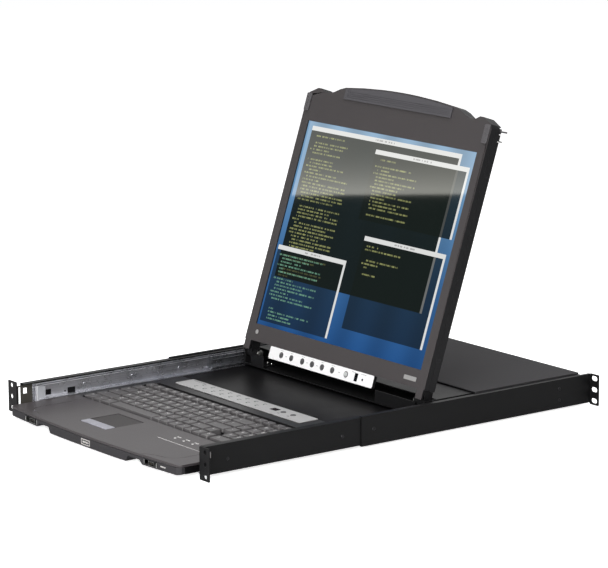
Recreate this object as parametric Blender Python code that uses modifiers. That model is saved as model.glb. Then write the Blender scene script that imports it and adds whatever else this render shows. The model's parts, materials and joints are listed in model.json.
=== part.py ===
"""A 1U console drawer for a 19 inch rack: LCD panel and keyboard on two slides, with a switch box.

X runs across the rack, Y from the front to the back, Z up. Sizes below are millimetres, measured
from the front faces of the rack ears, the middle of the rack and the lower edge of the ears.
The root empty puts the origin under the middle of the whole object.
"""
import math

import bmesh
import bpy
from mathutils import Matrix, Vector

MM = 0.001

# Rack frame
RACK_WIDTH = 482.6
EAR_HEIGHT = 43.7
EAR_THICKNESS = 1.5
EAR_HOLE_PITCH = 15.85
EAR_HOLE_X = 232.55
EAR_HOLE_RADIUS = 3.25
EAR_WINDOW = ((11.0, 25.5), (18.0, 34.0))
SHEET = 1.2
RAIL_X = 222.4
RAIL_TOP = 41.5
RAIL_BOTTOM = 4.0
RAIL_FRONT = 7.6
RAIL_BACK = 648.0
BRACKET_FRONT = 256.0
REAR_EAR_BACK = 658.7

# Slides: each upper one carries the LCD base, each lower one the keyboard tray
SLIDE_SHEET = 1.0
SLIDE_FRONT = 26.0
SLIDE_WEB_X = 220.4
MIDDLE_FRONT = 31.0
UPPER_MIDDLE_BACK = 455.0
LOWER_MIDDLE_BACK = 440.0
RUNNER_FRONT = 322.0
RUNNER_TOP = 32.9
RUNNER_BOTTOM = 20.4
BALL_RADIUS = 1.45
BALL_PITCH = 8.0
BALLS_PER_CAGE = 7

# Switch box
BOX_HALF_WIDTH = 208.0
BOX_FRONT = 463.0
BOX_BACK = 648.0
BOX_BOTTOM = 5.6
COVER_TOP = 43.7
PORT_COLUMNS = 8
PORT_PITCH = 33.0
PORT_ROWS_Z = (15.0, 32.0)
PORT_BANK_X = (-185.0, 85.0)

# LCD base and hinge
BASE_HALF_WIDTH = 205.5
BASE_FRONT = 374.0
BASE_BACK = 460.0
BASE_BOTTOM = 20.0
BASE_TOP = 41.5
BASE_SHEET = 1.5
BASE_WALL_TOP = 38.5
HINGE_Y = 384.0
HINGE_Z = 37.5
HINGE_PIN_RADIUS = 3.0
HINGE_BORE_RADIUS = 3.6
LUG_RADIUS = 6.5
HINGE_ARM_X = (190.0, 203.5)
ARM_FRONT = -10.5
LCD_TILT_DEG = 18.5

# LCD panel, measured from the hinge axis with the panel upright and facing -Y
LCD_HALF_WIDTH = 205.0
LCD_FRONT = -13.5
LCD_BACK = 5.5
LCD_SPLIT = -5.0
LCD_BOTTOM = 16.4
SCREEN_HALF_WIDTH = 188.2
SCREEN_BOTTOM = 41.4
SCREEN_HEIGHT = 301.1
CORNER_TOP = 383.0
CATCH_X = (193.0, 203.5)
BOLT_Y = 5.7
BOLT_Z = 377.0
ARCH_TOP = 404.4
ARCH_HALF_WIDTH = 122.0
ARCH_SIDE_TOP = 398.0
OSD_X = (-141.0, 98.0)
OSD_Z = (-1.6, 16.0)
OSD_BUTTON_RADIUS = 3.2
OSD_BUTTON_PLACES = (0.118, 0.217, 0.326, 0.421, 0.518, 0.616)
OSD_POWER_PLACE = 0.747

# Keyboard module
TRAY_HALF_WIDTH = 203.0
TRAY_FRONT = -10.0
TRAY_BACK = 440.0
TRAY_BOTTOM = 4.5
DECK_TOP = 17.5
DECK_THICKNESS = 3.2
DECK_BACK = 264.0
FRONT_AT_MIDDLE = -29.0
FRONT_BOW = 9.0
SOCKETS_X = ((-156.5, -129.5), (133.0, 160.0))
SOCKET_Z = (6.2, 12.6)
KEY_UNIT = 18.6
KEY_ROW_PITCH = 19.5
KEY_GAP = 1.6
KEYS_LEFT = -190.0
KEYS_FRONT = 89.0
KEY_TOP = 19.3
KEY_TRAVEL = 2.0
KEY_PLATE_TOP = 12.0
KEY_FUNCTION_GAP = 4.0
NUMPAD_LEFT = 111.0
STRIP_X = (-172.0, 121.0)
STRIP_Y = (231.0, 263.0)
STATION_BUTTON_X = (62.0, 84.0)
STATION_BUTTON_Y = 248.0
STATION_BUTTON_RADIUS = 4.0
PAD_X = (-73.0, -12.0)
PAD_Y = (26.0, 70.0)

GAP = 0.3

OVERALL_MIDDLE_Y = (FRONT_AT_MIDDLE + REAR_EAR_BACK) / 2

PLANES = {
    "XY": Matrix(((1, 0, 0), (0, 1, 0), (0, 0, 1))).to_4x4(),
    "XZ": Matrix(((1, 0, 0), (0, 0, -1), (0, 1, 0))).to_4x4(),
    "YZ": Matrix(((0, 0, 1), (1, 0, 0), (0, 1, 0))).to_4x4(),
}
NORMAL_AXIS = {"XY": Vector((0, 0, 1)), "XZ": Vector((0, 1, 0)), "YZ": Vector((1, 0, 0))}

for old in list(bpy.data.objects):
    bpy.data.objects.remove(old, do_unlink=True)

parts = bpy.data.collections.new("kvm_console_drawer")
tools = bpy.data.collections.new("cutters")
bpy.context.scene.collection.children.link(parts)
bpy.context.scene.collection.children.link(tools)


# ---------------------------------------------------------------- shapes

def shape(mesh):
    """A loose object for a mesh, not yet in a collection."""
    return bpy.data.objects.new(mesh.name, mesh)


def mesh_from(bm, name="shape"):
    mesh = bpy.data.meshes.new(name)
    bm.to_mesh(mesh)
    bm.free()
    return mesh


def box(low, high):
    """A block between two corners."""
    bm = bmesh.new()
    bmesh.ops.create_cube(bm, size=1.0)
    size = Vector(high) - Vector(low)
    middle = (Vector(high) + Vector(low)) / 2
    bmesh.ops.scale(bm, vec=size * MM, verts=bm.verts)
    bmesh.ops.translate(bm, vec=middle * MM, verts=bm.verts)
    return shape(mesh_from(bm))


def rod(start, end, radius, sides=16):
    """A round bar between two points."""
    start, end = Vector(start) * MM, Vector(end) * MM
    along = end - start
    bm = bmesh.new()
    bmesh.ops.create_cone(bm, cap_ends=True, segments=sides, radius1=radius * MM,
                          radius2=radius * MM, depth=along.length)
    turn = along.to_track_quat("Z", "Y").to_matrix().to_4x4()
    bmesh.ops.transform(bm, matrix=Matrix.Translation((start + end) / 2) @ turn, verts=bm.verts)
    return shape(mesh_from(bm))


def plate(outlines, low, high, plane):
    """Flat outlines, the first the rim and the rest holes, extruded from low to high."""
    curve = bpy.data.curves.new("outline", "CURVE")
    curve.dimensions = "2D"
    curve.fill_mode = "BOTH"
    curve.extrude = (high - low) / 2 * MM
    for outline in outlines:
        spline = curve.splines.new("POLY")
        spline.points.add(len(outline) - 1)
        spline.use_cyclic_u = True
        for point, (u, v) in zip(spline.points, outline):
            point.co = (u * MM, v * MM, 0, 1)
    drawn = bpy.data.objects.new("outline", curve)
    bpy.context.scene.collection.objects.link(drawn)
    shift = Matrix.Translation(NORMAL_AXIS[plane] * (low + high) / 2 * MM)
    drawn.matrix_world = shift @ PLANES[plane]
    bpy.context.view_layer.update()
    evaluated = drawn.evaluated_get(bpy.context.evaluated_depsgraph_get())
    bm = bmesh.new()
    bm.from_mesh(bpy.data.meshes.new_from_object(evaluated))
    bmesh.ops.remove_doubles(bm, verts=bm.verts, dist=0.000001)
    bm.transform(drawn.matrix_world)
    bmesh.ops.recalc_face_normals(bm, faces=bm.faces)
    bpy.data.objects.remove(drawn)
    return shape(mesh_from(bm))


def folded(path, start, end, thickness):
    """Sheet metal folded along Y: the path gives the middle of the sheet in X and Z."""
    bm = bmesh.new()
    corners = [bm.verts.new((x * MM, start * MM, z * MM)) for x, z in path]
    folds = [bm.edges.new(pair) for pair in zip(corners, corners[1:])]
    grown = bmesh.ops.extrude_edge_only(bm, edges=folds)["geom"]
    moved = [item for item in grown if isinstance(item, bmesh.types.BMVert)]
    bmesh.ops.translate(bm, vec=(0, (end - start) * MM, 0), verts=moved)
    sheet = shape(mesh_from(bm))
    wall = sheet.modifiers.new("sheet", "SOLIDIFY")
    wall.thickness = thickness * MM
    wall.offset = 0
    wall.use_even_offset = True
    return sheet


def arc(cx, cy, radius, start_deg, end_deg, steps):
    """Points along an arc."""
    points = []
    for step in range(steps + 1):
        angle = math.radians(start_deg + (end_deg - start_deg) * step / steps)
        points.append((cx + radius * math.cos(angle), cy + radius * math.sin(angle)))
    return points


def circle(cx, cy, radius, steps=16):
    return arc(cx, cy, radius, 0, 360 - 360 / steps, steps - 1)


def slot(cx, cy, length, width, steps=6):
    """A slot with round ends, its length along the first axis."""
    half = (length - width) / 2
    right = arc(cx + half, cy, width / 2, -90, 90, steps)
    left = arc(cx - half, cy, width / 2, 90, 270, steps)
    return right + left


def rectangle(low, high, radius=0.0, steps=3):
    """A rectangle between two corners, with its corners rounded if a radius is given."""
    (x0, y0), (x1, y1) = low, high
    if radius == 0:
        return [(x0, y0), (x1, y0), (x1, y1), (x0, y1)]
    return (arc(x1 - radius, y0 + radius, radius, -90, 0, steps)
            + arc(x1 - radius, y1 - radius, radius, 0, 90, steps)
            + arc(x0 + radius, y1 - radius, radius, 90, 180, steps)
            + arc(x0 + radius, y0 + radius, radius, 180, 270, steps))


def mirrored(points):
    """The same outline on the other side of the rack."""
    return [(-x, y) for x, y in points]


def combine(first, operation, *others):
    """Boolean modifiers that keep their tools as hidden objects."""
    for other in others:
        tools.objects.link(other)
        other.hide_render = True
        other.display_type = "WIRE"
        step = first.modifiers.new(operation.lower(), "BOOLEAN")
        step.operation = operation
        step.object = other
        step.solver = "EXACT"
    return first


def cut(first, *others):
    return combine(first, "DIFFERENCE", *others)


def join(first, *others):
    return combine(first, "UNION", *others)


def keep_common(first, *others):
    return combine(first, "INTERSECT", *others)


def soften(obj, width, segments=1):
    """Small rounded edges on a shape."""
    bevel = obj.modifiers.new("edges", "BEVEL")
    bevel.width = width * MM
    bevel.segments = segments
    bevel.limit_method = "ANGLE"
    bevel.angle_limit = math.radians(40)
    return obj


def gather(shapes):
    """Several separate solids in one mesh."""
    bm = bmesh.new()
    for item in shapes:
        bm.from_mesh(item.data)
        bpy.data.objects.remove(item)
    return shape(mesh_from(bm))


def material(name, colour, roughness, metallic=0.0):
    made = bpy.data.materials.new(name)
    made.use_nodes = True
    shader = made.node_tree.nodes["Principled BSDF"]
    shader.inputs["Base Color"].default_value = (*colour, 1.0)
    shader.inputs["Roughness"].default_value = roughness
    shader.inputs["Metallic"].default_value = metallic
    return made


def empty(name, location, parent):
    point = bpy.data.objects.new(name, None)
    parts.objects.link(point)
    point.location = Vector(location) * MM
    point.parent = parent
    return point


def carry_tools(obj, parent):
    """Boolean tools hang from the same parent as the piece that they shape."""
    for step in obj.modifiers:
        if step.type == "BOOLEAN":
            step.object.parent = parent
            carry_tools(step.object, parent)


def part(name, obj, finish, parent, origin=(0, 0, 0)):
    """Name a finished shape, give it its material and hang it from its carrier."""
    obj.name = name
    obj.data.name = name
    shift = Vector(origin) * MM
    obj.data.transform(Matrix.Translation(-shift))
    obj.location = shift
    obj.parent = parent
    carry_tools(obj, parent)
    obj.data.materials.append(finish)
    parts.objects.link(obj)
    return obj


# ---------------------------------------------------------------- materials

def rail_paint():
    return material("rail_paint", (0.012, 0.012, 0.013), 0.45, 0.3)


def slide_steel():
    return material("slide_steel", (0.16, 0.17, 0.20), 0.35, 0.9)


def ball_steel():
    return material("ball_steel", (0.75, 0.75, 0.74), 0.15, 1.0)


def cover_paint():
    return material("cover_paint", (0.066, 0.066, 0.07), 0.5, 0.2)


def board_green():
    return material("board_green", (0.02, 0.12, 0.05), 0.5)


def zinc_plate():
    return material("zinc_plate", (0.55, 0.56, 0.57), 0.35, 0.9)


def port_blue():
    return material("port_blue", (0.03, 0.06, 0.25), 0.5)


def inlet_black():
    return material("inlet_black", (0.015, 0.015, 0.015), 0.55)


def bezel_grey():
    return material("bezel_grey", (0.085, 0.08, 0.08), 0.55)


def back_cover_black():
    return material("back_cover_black", (0.015, 0.015, 0.016), 0.5)


def screen_glass():
    return material("screen_glass", (0.01, 0.03, 0.08), 0.12)


def grip_rubber():
    return material("grip_rubber", (0.09, 0.09, 0.10), 0.75)


def catch_grey():
    return material("catch_grey", (0.20, 0.20, 0.21), 0.5)


def panel_white():
    return material("panel_white", (0.88, 0.88, 0.88), 0.4)


def button_dark():
    return material("button_dark", (0.09, 0.09, 0.09), 0.45)


def power_button_pale():
    return material("power_button_pale", (0.70, 0.72, 0.70), 0.35)


def palmrest_grey():
    return material("palmrest_grey", (0.115, 0.10, 0.105), 0.6)


def front_grey():
    return material("front_grey", (0.07, 0.07, 0.075), 0.55)


def key_grey():
    return material("key_grey", (0.09, 0.085, 0.09), 0.6)


def touchpad_grey():
    return material("touchpad_grey", (0.12, 0.125, 0.15), 0.4)


def touchpad_button_grey():
    return material("touchpad_button_grey", (0.33, 0.33, 0.38), 0.4)


def strip_silver():
    return material("strip_silver", (0.62, 0.60, 0.60), 0.4, 0.3)


# ---------------------------------------------------------------- carriers

root = empty("console_frame", (0, -OVERALL_MIDDLE_Y, 0), None)
keyboard_slide = empty("keyboard_slide", (0, 0, 0), root)
lcd_slide = empty("lcd_slide", (0, 0, 0), root)
lcd_hinge = empty("lcd_hinge", (0, HINGE_Y, HINGE_Z), lcd_slide)
lcd_hinge.rotation_euler.x = -math.radians(LCD_TILT_DEG)

RAIL_PAINT = rail_paint()
SLIDE_STEEL = slide_steel()
BALL_STEEL = ball_steel()
BUTTON_DARK = button_dark()


# ---------------------------------------------------------------- rack frame

def side_rail(side):
    """Folded channel: the wall with an inward flange above and below, and a window in front."""
    wall = RAIL_X - SHEET / 2
    top = RAIL_TOP - SHEET / 2
    bottom = RAIL_BOTTOM + SHEET / 2
    path = [(side * 211.5, top), (side * wall, top), (side * wall, bottom), (side * 206, bottom)]
    channel = folded(path, RAIL_FRONT, RAIL_BACK, SHEET)
    low, high = sorted((side * (RAIL_X - SHEET - 1), side * (RAIL_X + 1)))
    (y0, z0), (y1, z1) = EAR_WINDOW
    return cut(channel, box((low, y0, z0), (high, y1, z1)))


def front_ear(side):
    """Ear with three rack holes, and a flange inside the rail with a slot and a square hole."""
    inner, outer = 219.9, RACK_WIDTH / 2
    face = rectangle((inner, 0), (outer, EAR_HEIGHT), 1.5)
    middle = EAR_HEIGHT / 2
    holes = [circle(EAR_HOLE_X, middle + row * EAR_HOLE_PITCH, EAR_HOLE_RADIUS)
             for row in (-1, 0, 1)]
    outlines = [face] + holes
    if side < 0:
        outlines = [mirrored(points) for points in outlines]
    ear = plate(outlines, 0, EAR_THICKNESS, "XZ")
    flange = [rectangle((EAR_THICKNESS / 2, 5.9), (25.5, 38)),
              rectangle((3.6, 11), (7.2, 36)),
              rectangle(*EAR_WINDOW)]
    low, high = sorted((side * inner, side * (inner + 1.0)))
    return join(ear, plate(flange, low, high, "YZ"))


def rear_bracket(side):
    """Shallow channel that slides along the outside of the rail, ending in a slotted ear."""
    wall, lip = 223.6, 219.6
    path = [(side * lip, 42.4), (side * wall, 42.4), (side * wall, 3.0), (side * lip, 3.0)]
    channel = folded(path, BRACKET_FRONT, REAR_EAR_BACK - 0.4, SHEET)
    face = rectangle((wall - 0.4, 0), (RACK_WIDTH / 2, EAR_HEIGHT), 1.5)
    middle = EAR_HEIGHT / 2
    slots = [slot(EAR_HOLE_X, middle + row * EAR_HOLE_PITCH, 12.0, 7.0) for row in (-1, 0, 1)]
    outlines = [face] + slots
    if side < 0:
        outlines = [mirrored(points) for points in outlines]
    ear = plate(outlines, REAR_EAR_BACK - EAR_THICKNESS, REAR_EAR_BACK, "XZ")
    return join(channel, ear)


# ---------------------------------------------------------------- slides

def slide_outer(side):
    """Fixed double track: one tall channel for the LCD, a low one for the keyboard."""
    web, half = SLIDE_WEB_X, SLIDE_SHEET / 2
    outline = [(web + half, 5.6), (web + half, 39.3), (211, 39.3), (211, 38.3), (web - half, 38.3),
               (web - half, 15), (211, 15), (211, 13.3), (web - half, 13.3), (web - half, 6.6),
               (212, 6.6), (212, 5.6)]
    if side < 0:
        outline = mirrored(outline)
    return plate([outline], SLIDE_FRONT, 600, "XZ")


def slide_middle_upper(side):
    """Tall middle channel, seen along the side: its front end has a square window and two marks."""
    path = [(208.9, 36.6), (218.2, 36.6), (218.2, 16.7), (208.9, 16.7)]
    path = [(side * x, z) for x, z in path]
    channel = folded(path, MIDDLE_FRONT, UPPER_MIDDLE_BACK, SLIDE_SHEET)
    low, high = sorted((side * 216, side * 220))
    window = box((low, 47, 25), (high, 57, 34))
    marks = [box((low, y, 26), (high, y + 5, 30)) for y in (70, 80)]
    return cut(channel, window, *marks)


def slide_middle_lower(side):
    path = [(212.3, 12.1), (218.2, 12.1), (218.2, 7.7), (212.3, 7.7)]
    path = [(side * x, z) for x, z in path]
    return folded(path, MIDDLE_FRONT, LOWER_MIDDLE_BACK, SLIDE_SHEET)


def lcd_runner(side):
    """Inner channel screwed to the LCD base, riding in the middle one on balls."""
    top = RUNNER_TOP - SLIDE_SHEET / 2
    bottom = RUNNER_BOTTOM + SLIDE_SHEET / 2
    path = [(207.4, top), (215.3, top), (215.3, bottom), (207.4, bottom)]
    path = [(side * x, z) for x, z in path]
    return folded(path, RUNNER_FRONT, UPPER_MIDDLE_BACK, SLIDE_SHEET)


def keyboard_runner(side):
    """Bar along the tray that rides between the lips of the lower middle member."""
    low, high = sorted((side * (TRAY_HALF_WIDTH + GAP), side * 217))
    return soften(box((low, MIDDLE_FRONT, 8.5), (high, LOWER_MIDDLE_BACK, 11.3)), 0.4)


def ball_cage(side):
    """Pressed strip folded round the LCD runner, with the balls above and below it."""
    upper, lower = RUNNER_TOP + 1.6, RUNNER_BOTTOM - 1.6
    front = RUNNER_FRONT - 4
    path = [(209.6, upper), (216.6, upper), (216.6, lower), (209.6, lower)]
    path = [(side * x, z) for x, z in path]
    strip = folded(path, front, front + BALL_PITCH * BALLS_PER_CAGE, 0.6)
    balls = []
    for z in (upper, lower):
        for ball in range(BALLS_PER_CAGE):
            bm = bmesh.new()
            bmesh.ops.create_uvsphere(bm, u_segments=8, v_segments=6, radius=BALL_RADIUS * MM)
            place = Vector((side * 211.8, front + (ball + 0.5) * BALL_PITCH, z)) * MM
            bmesh.ops.translate(bm, vec=place, verts=bm.verts)
            balls.append(shape(mesh_from(bm)))
    return join(strip, gather(balls))


# ---------------------------------------------------------------- switch box

def switch_chassis():
    """Open steel tray with windows for the connectors in its back wall."""
    half = BOX_HALF_WIDTH
    tray = box((-half, BOX_FRONT, BOX_BOTTOM), (half, BOX_BACK, COVER_TOP - SHEET - GAP))
    inside = box((-half + SHEET, BOX_FRONT + SHEET, BOX_BOTTOM + SHEET),
                 (half - SHEET, BOX_BACK - SHEET, COVER_TOP + 5))
    windows = [box((x0, BOX_BACK - 5, z0), (x1, BOX_BACK + 5, z1))
               for x0, x1, z0, z1 in ((PORT_BANK_X[0], PORT_BANK_X[1], 8.2, 39.0),
                                      (92.0, 132.0, 8.2, 39.0),
                                      (137.0, 149.0, 12.0, 35.0),
                                      (154.0, 194.0, 10.0, 36.0))]
    return cut(tray, inside, *windows)


def switch_cover():
    """Lid with a short skirt down each side."""
    skirt = 7.0
    middle = COVER_TOP - SHEET / 2
    path = [(-209.6, COVER_TOP - skirt), (-209.6, middle), (209.6, middle),
            (209.6, COVER_TOP - skirt)]
    return folded(path, BOX_FRONT - 1.5, BOX_BACK, 1.2)


def d_outline(cx, cz, width, height):
    """The D shape of a connector, wider at the top."""
    half, slope = width / 2, height * 0.18
    return [(cx - half + slope, cz - height / 2), (cx + half - slope, cz - height / 2),
            (cx + half, cz + height / 2), (cx - half, cz + height / 2)]


def computer_port_bank():
    """Two rows of connectors for the computers, each with its sunk face and two nuts beside it."""
    x0, x1 = PORT_BANK_X
    back = BOX_BACK + 1.0
    body = box((x0 + GAP, BOX_BACK - 12, 8.5), (x1 - GAP, back, 38.7))
    first = (x0 + x1) / 2 - (PORT_COLUMNS - 1) / 2 * PORT_PITCH
    faces = [plate([d_outline(first + column * PORT_PITCH, z, 17, 9)], back - 3, back + 3, "XZ")
             for z in PORT_ROWS_Z for column in range(PORT_COLUMNS)]
    return cut(body, gather(faces))


def console_port_block():
    """Console and daisy chain connectors."""
    back = BOX_BACK + 1.0
    body = box((92.3, BOX_BACK - 12, 8.5), (131.7, back, 38.7))
    faces = [plate([d_outline(112, z, 26, 9)], back - 3, back + 3, "XZ") for z in PORT_ROWS_Z]
    return cut(body, gather(faces))


def power_inlet():
    """Mains inlet: a well with chamfered lower corners and its three blades."""
    back = BOX_BACK + 1.5
    body = box((154.3, BOX_BACK - 16, 10.3), (193.7, back, 35.7))
    well = [(161, 14), (187, 14), (187, 26), (181, 32), (167, 32), (161, 26)]
    blades = [box((x - 1, BOX_BACK - 15, z - 3), (x + 1, BOX_BACK - 8, z + 3))
              for x, z in ((168, 20), (180, 20), (174, 26))]
    return join(cut(body, plate([well], BOX_BACK - 14, back + 3, "XZ")), gather(blades))


def power_rocker():
    """Rocker that tips in its frame."""
    return soften(box((138.2, BOX_BACK - 9, 15), (147.8, BOX_BACK + 1.5, 32)), 0.8)


def main_board():
    """Circuit board on the chassis floor with its larger chips."""
    board = box((-200, 468, 9.0), (130, 630, 10.6))
    chips = [box((x - 12, y - 12, 10.2), (x + 12, y + 12, 12.6))
             for x, y in ((-140, 520), (-60, 520), (20, 520), (95, 560))]
    return join(board, gather(chips))


# ---------------------------------------------------------------- LCD base and hinge

def lcd_base():
    """Folded pan: low front walls with a gap for the control strip, and a closed back."""
    half, wall = BASE_HALF_WIDTH, BASE_SHEET
    pan = box((-half, BASE_FRONT, BASE_BOTTOM), (half, BASE_BACK, BASE_TOP))
    hollow = box((-half + wall, BASE_FRONT + wall, BASE_BOTTOM + wall),
                 (half - wall, BASE_BACK - wall, BASE_TOP - wall))
    open_top = box((-half + wall, BASE_FRONT - 5, BASE_WALL_TOP), (half - wall, 398.5, 60))
    notch = box((-157, BASE_FRONT - 5, BASE_BOTTOM + wall), (101, BASE_FRONT + 5, 60))
    arm_ways = [box((x0, BASE_FRONT - 5, 23), (x1, BASE_FRONT + wall + 0.5, 60))
                for x0, x1 in ((-half - 5, -188), (188, half + 5))]
    pan = cut(pan, hollow, open_top, notch, *arm_ways)
    lugs = []
    for side in (-1, 1):
        low, high = sorted((side * (half - 0.5), side * 214.5))
        lugs.append(box((low, 378, 22.2), (high, 452, 31.1)))
    return join(pan, *lugs)


def hinge_leaf(side):
    """Fixed half: a foot on the pan and an upright lug bored for the pin."""
    front, back = HINGE_Y - LUG_RADIUS, HINGE_Y + LUG_RADIUS
    lug = arc(HINGE_Y, HINGE_Z, LUG_RADIUS, 0, 180, 10) + [(front, 22), (back, 22)]
    bore = circle(HINGE_Y, HINGE_Z, HINGE_BORE_RADIUS, 20)
    low, high = sorted((side * 180, side * 189))
    leaf = plate([lug, bore], low, high, "YZ")
    low, high = sorted((side * 158, side * 189))
    foot = box((low, front, BASE_BOTTOM + BASE_SHEET + GAP), (high, 397, 24.2))
    return join(leaf, foot)


def hinge_arm(side):
    """Moving half: lug round the axis, arm up to the panel, and the pin in the leaf's bore."""
    top = LCD_BOTTOM - GAP
    lug = arc(0, 0, LUG_RADIUS, 180, 360, 10) + [(4.5, top), (ARM_FRONT, top)]
    low, high = sorted((side * HINGE_ARM_X[0], side * HINGE_ARM_X[1]))
    arm = plate([lug], low, high, "YZ")
    pin = rod((side * 179, 0, 0), (side * 192, 0, 0), HINGE_PIN_RADIUS, 20)
    return join(arm, pin)


# ---------------------------------------------------------------- LCD panel

def lcd_outline(inset=0.0):
    """Front elevation of the panel: square corners below, a carrying arch on top."""
    half = LCD_HALF_WIDTH - inset
    arch_half = ARCH_HALF_WIDTH - inset
    rise = ARCH_TOP - ARCH_SIDE_TOP
    right = [(half, LCD_BOTTOM + inset), (half, CORNER_TOP - 7 - inset), (202 - inset, CORNER_TOP),
             (184, 391 - inset), (176, 391 - inset), (168, 386.5 - inset), (158, 386.5 - inset),
             (146, 389 - inset), (134, 394.5 - inset)]
    arch = []
    steps = 12
    for step in range(steps + 1):
        x = arch_half * (1 - 2 * step / steps)
        arch.append((x, ARCH_SIDE_TOP - inset + rise * (1 - (x / arch_half) ** 2)))
    left = [(-x, z) for x, z in reversed(right)]
    return right + arch + left


def lcd_front_bezel():
    """Front shell with the screen window, a pocket behind it and an ear over each hinge arm."""
    window = rectangle((-SCREEN_HALF_WIDTH, SCREEN_BOTTOM),
                       (SCREEN_HALF_WIDTH, SCREEN_BOTTOM + SCREEN_HEIGHT))
    shell = plate([lcd_outline(), window], LCD_FRONT, LCD_SPLIT - GAP, "XZ")
    pocket = box((-200, LCD_FRONT + 2, 28), (200, 0, 356))
    ears = []
    for side in (-1, 1):
        low, high = sorted((side * HINGE_ARM_X[0], side * HINGE_ARM_X[1]))
        ears.append(box((low, LCD_FRONT, 3), (high, ARM_FRONT - GAP, LCD_BOTTOM + 3)))
    return join(cut(shell, pocket, *catch_slots()), *ears)


def lcd_display():
    return soften(box((-194, LCD_FRONT + 2.3, 34), (194, LCD_SPLIT - GAP, 350)), 0.5)


def lcd_back_cover():
    """Back shell with softened edges, and a recess at each upper corner for the catch's bolt."""
    cover = plate([lcd_outline()], LCD_SPLIT, LCD_BACK, "XZ")
    soften(cover, 1.6)
    recesses = []
    for side in (-1, 1):
        low, high = sorted((side * 188, side * 210))
        recesses.append(box((low, 2.6, BOLT_Z - 5), (high, 10, BOLT_Z + 5)))
    return cut(cover, *recesses, *catch_slots())


def lcd_grip():
    """Rubber pad on the front of the carrying arch, with ribs along it."""
    half = ARCH_HALF_WIDTH - 3
    low, steps = SCREEN_BOTTOM + SCREEN_HEIGHT + 39.0, 12
    top = []
    for step in range(steps + 1):
        x = half * (1 - 2 * step / steps)
        top.append((x, ARCH_SIDE_TOP - 2.2 + (ARCH_TOP - ARCH_SIDE_TOP) * (1 - (x / half) ** 2)))
    pad = plate([[(-half, low), (half, low)] + top], LCD_FRONT - 1.8, LCD_FRONT - GAP, "XZ")
    grooves = [box((-half + 6, LCD_FRONT - 3, low + z), (half - 6, LCD_FRONT - 1.3, low + z + 0.9))
               for z in (3.0, 5.6, 8.2, 10.8)]
    return cut(pad, *grooves)


def lcd_catch(side):
    """Thumb slider on the front corner; a stem through the panel draws in the bolt at the back."""
    low, high = sorted((side * CATCH_X[0], side * CATCH_X[1]))
    thumb = plate([rectangle((low, 356), (high, 382), 2.0)], LCD_FRONT - 2.2, LCD_FRONT - GAP, "XZ")
    low, high = sorted((side * 198, side * 202))
    stem = box((low, LCD_FRONT - 1.2, BOLT_Z - 2), (high, 5.0, BOLT_Z + 2))
    low, high = sorted((side * 196.5, side * 203.2))
    block = box((low, 3.0, BOLT_Z - 3.5), (high, 7.0, BOLT_Z + 3.5))
    bolt = rod((side * 200, BOLT_Y, BOLT_Z), (side * 215.5, BOLT_Y, BOLT_Z), 1.2, 12)
    return join(thumb, stem, block, bolt)


def catch_slots():
    """Ways through the panel's corners for the stems, long enough for their travel."""
    ways = []
    for side in (-1, 1):
        low, high = sorted((side * (CATCH_X[0] + 0.5), side * (CATCH_X[1] - GAP)))
        ways.append(box((low, LCD_FRONT - 5, BOLT_Z - 3), (high, LCD_BACK + 5, BOLT_Z + 3)))
    return ways


def osd_place(fraction):
    """Where a control sits along the strip under the panel."""
    return OSD_X[0] + fraction * (OSD_X[1] - OSD_X[0]), sum(OSD_Z) / 2


def osd_panel():
    """Control strip under the panel with a hole for each button."""
    rim = rectangle((OSD_X[0], OSD_Z[0]), (OSD_X[1], OSD_Z[1]), 2.0)
    holes = [circle(*osd_place(place), OSD_BUTTON_RADIUS + GAP)
             for place in OSD_BUTTON_PLACES + (OSD_POWER_PLACE,)]
    return plate([rim] + holes, LCD_FRONT, LCD_FRONT + 5, "XZ")


def osd_button(place):
    x, z = osd_place(place)
    return rod((x, LCD_FRONT - 1.4, z), (x, LCD_FRONT + 5, z), OSD_BUTTON_RADIUS, 16)


# ---------------------------------------------------------------- keyboard module

def front_y(x):
    """The front edge bows gently forward in the middle."""
    return FRONT_AT_MIDDLE + FRONT_BOW * (x / 200) ** 2


def deck_outline(back, inset=0.0):
    """Plan of the keyboard case: bowed front edge, square back."""
    half, steps = TRAY_HALF_WIDTH - inset, 12
    front = []
    for step in range(steps + 1):
        x = -half + 2 * half * step / steps
        front.append((x, front_y(x) + inset))
    front[0] = (-half, front[0][1] + 4)
    front[-1] = (half, front[-1][1] + 4)
    front.insert(1, (-half + 4, front_y(half - 4) + inset))
    front.insert(-1, (half - 4, front_y(half - 4) + inset))
    return front + [(half, back), (-half, back)]


def key_window():
    """Opening for the keys, with its left corners cut off."""
    return [(-186, 86), (188, 86), (188, 215), (-187, 215), (-193, 209), (-193, 92)]


def keyboard_tray():
    """Steel pan under the keyboard, closed over at the back by the cable deck."""
    half, wall, top = TRAY_HALF_WIDTH, SHEET, DECK_TOP - GAP
    pan = box((-half, TRAY_FRONT, TRAY_BOTTOM), (half, TRAY_BACK, top))
    hollow = box((-half + wall, TRAY_FRONT + wall, TRAY_BOTTOM + wall),
                 (half - wall, TRAY_BACK - wall, top - wall))
    front_open = box((-half - 5, TRAY_FRONT - 5, DECK_TOP - DECK_THICKNESS - GAP),
                     (half + 5, DECK_BACK + GAP, 30))
    return cut(pan, hollow, front_open)


def band(points, width):
    """Outline of a narrow band that follows a line."""
    one_side, other_side = [], []
    for number, point in enumerate(points):
        before = Vector(points[max(number - 1, 0)])
        after = Vector(points[min(number + 1, len(points) - 1)])
        along = (after - before).normalized()
        across = Vector((-along.y, along.x)) * width / 2
        one_side.append(tuple(Vector(point) + across))
        other_side.append(tuple(Vector(point) - across))
    return one_side + other_side[::-1]


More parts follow.
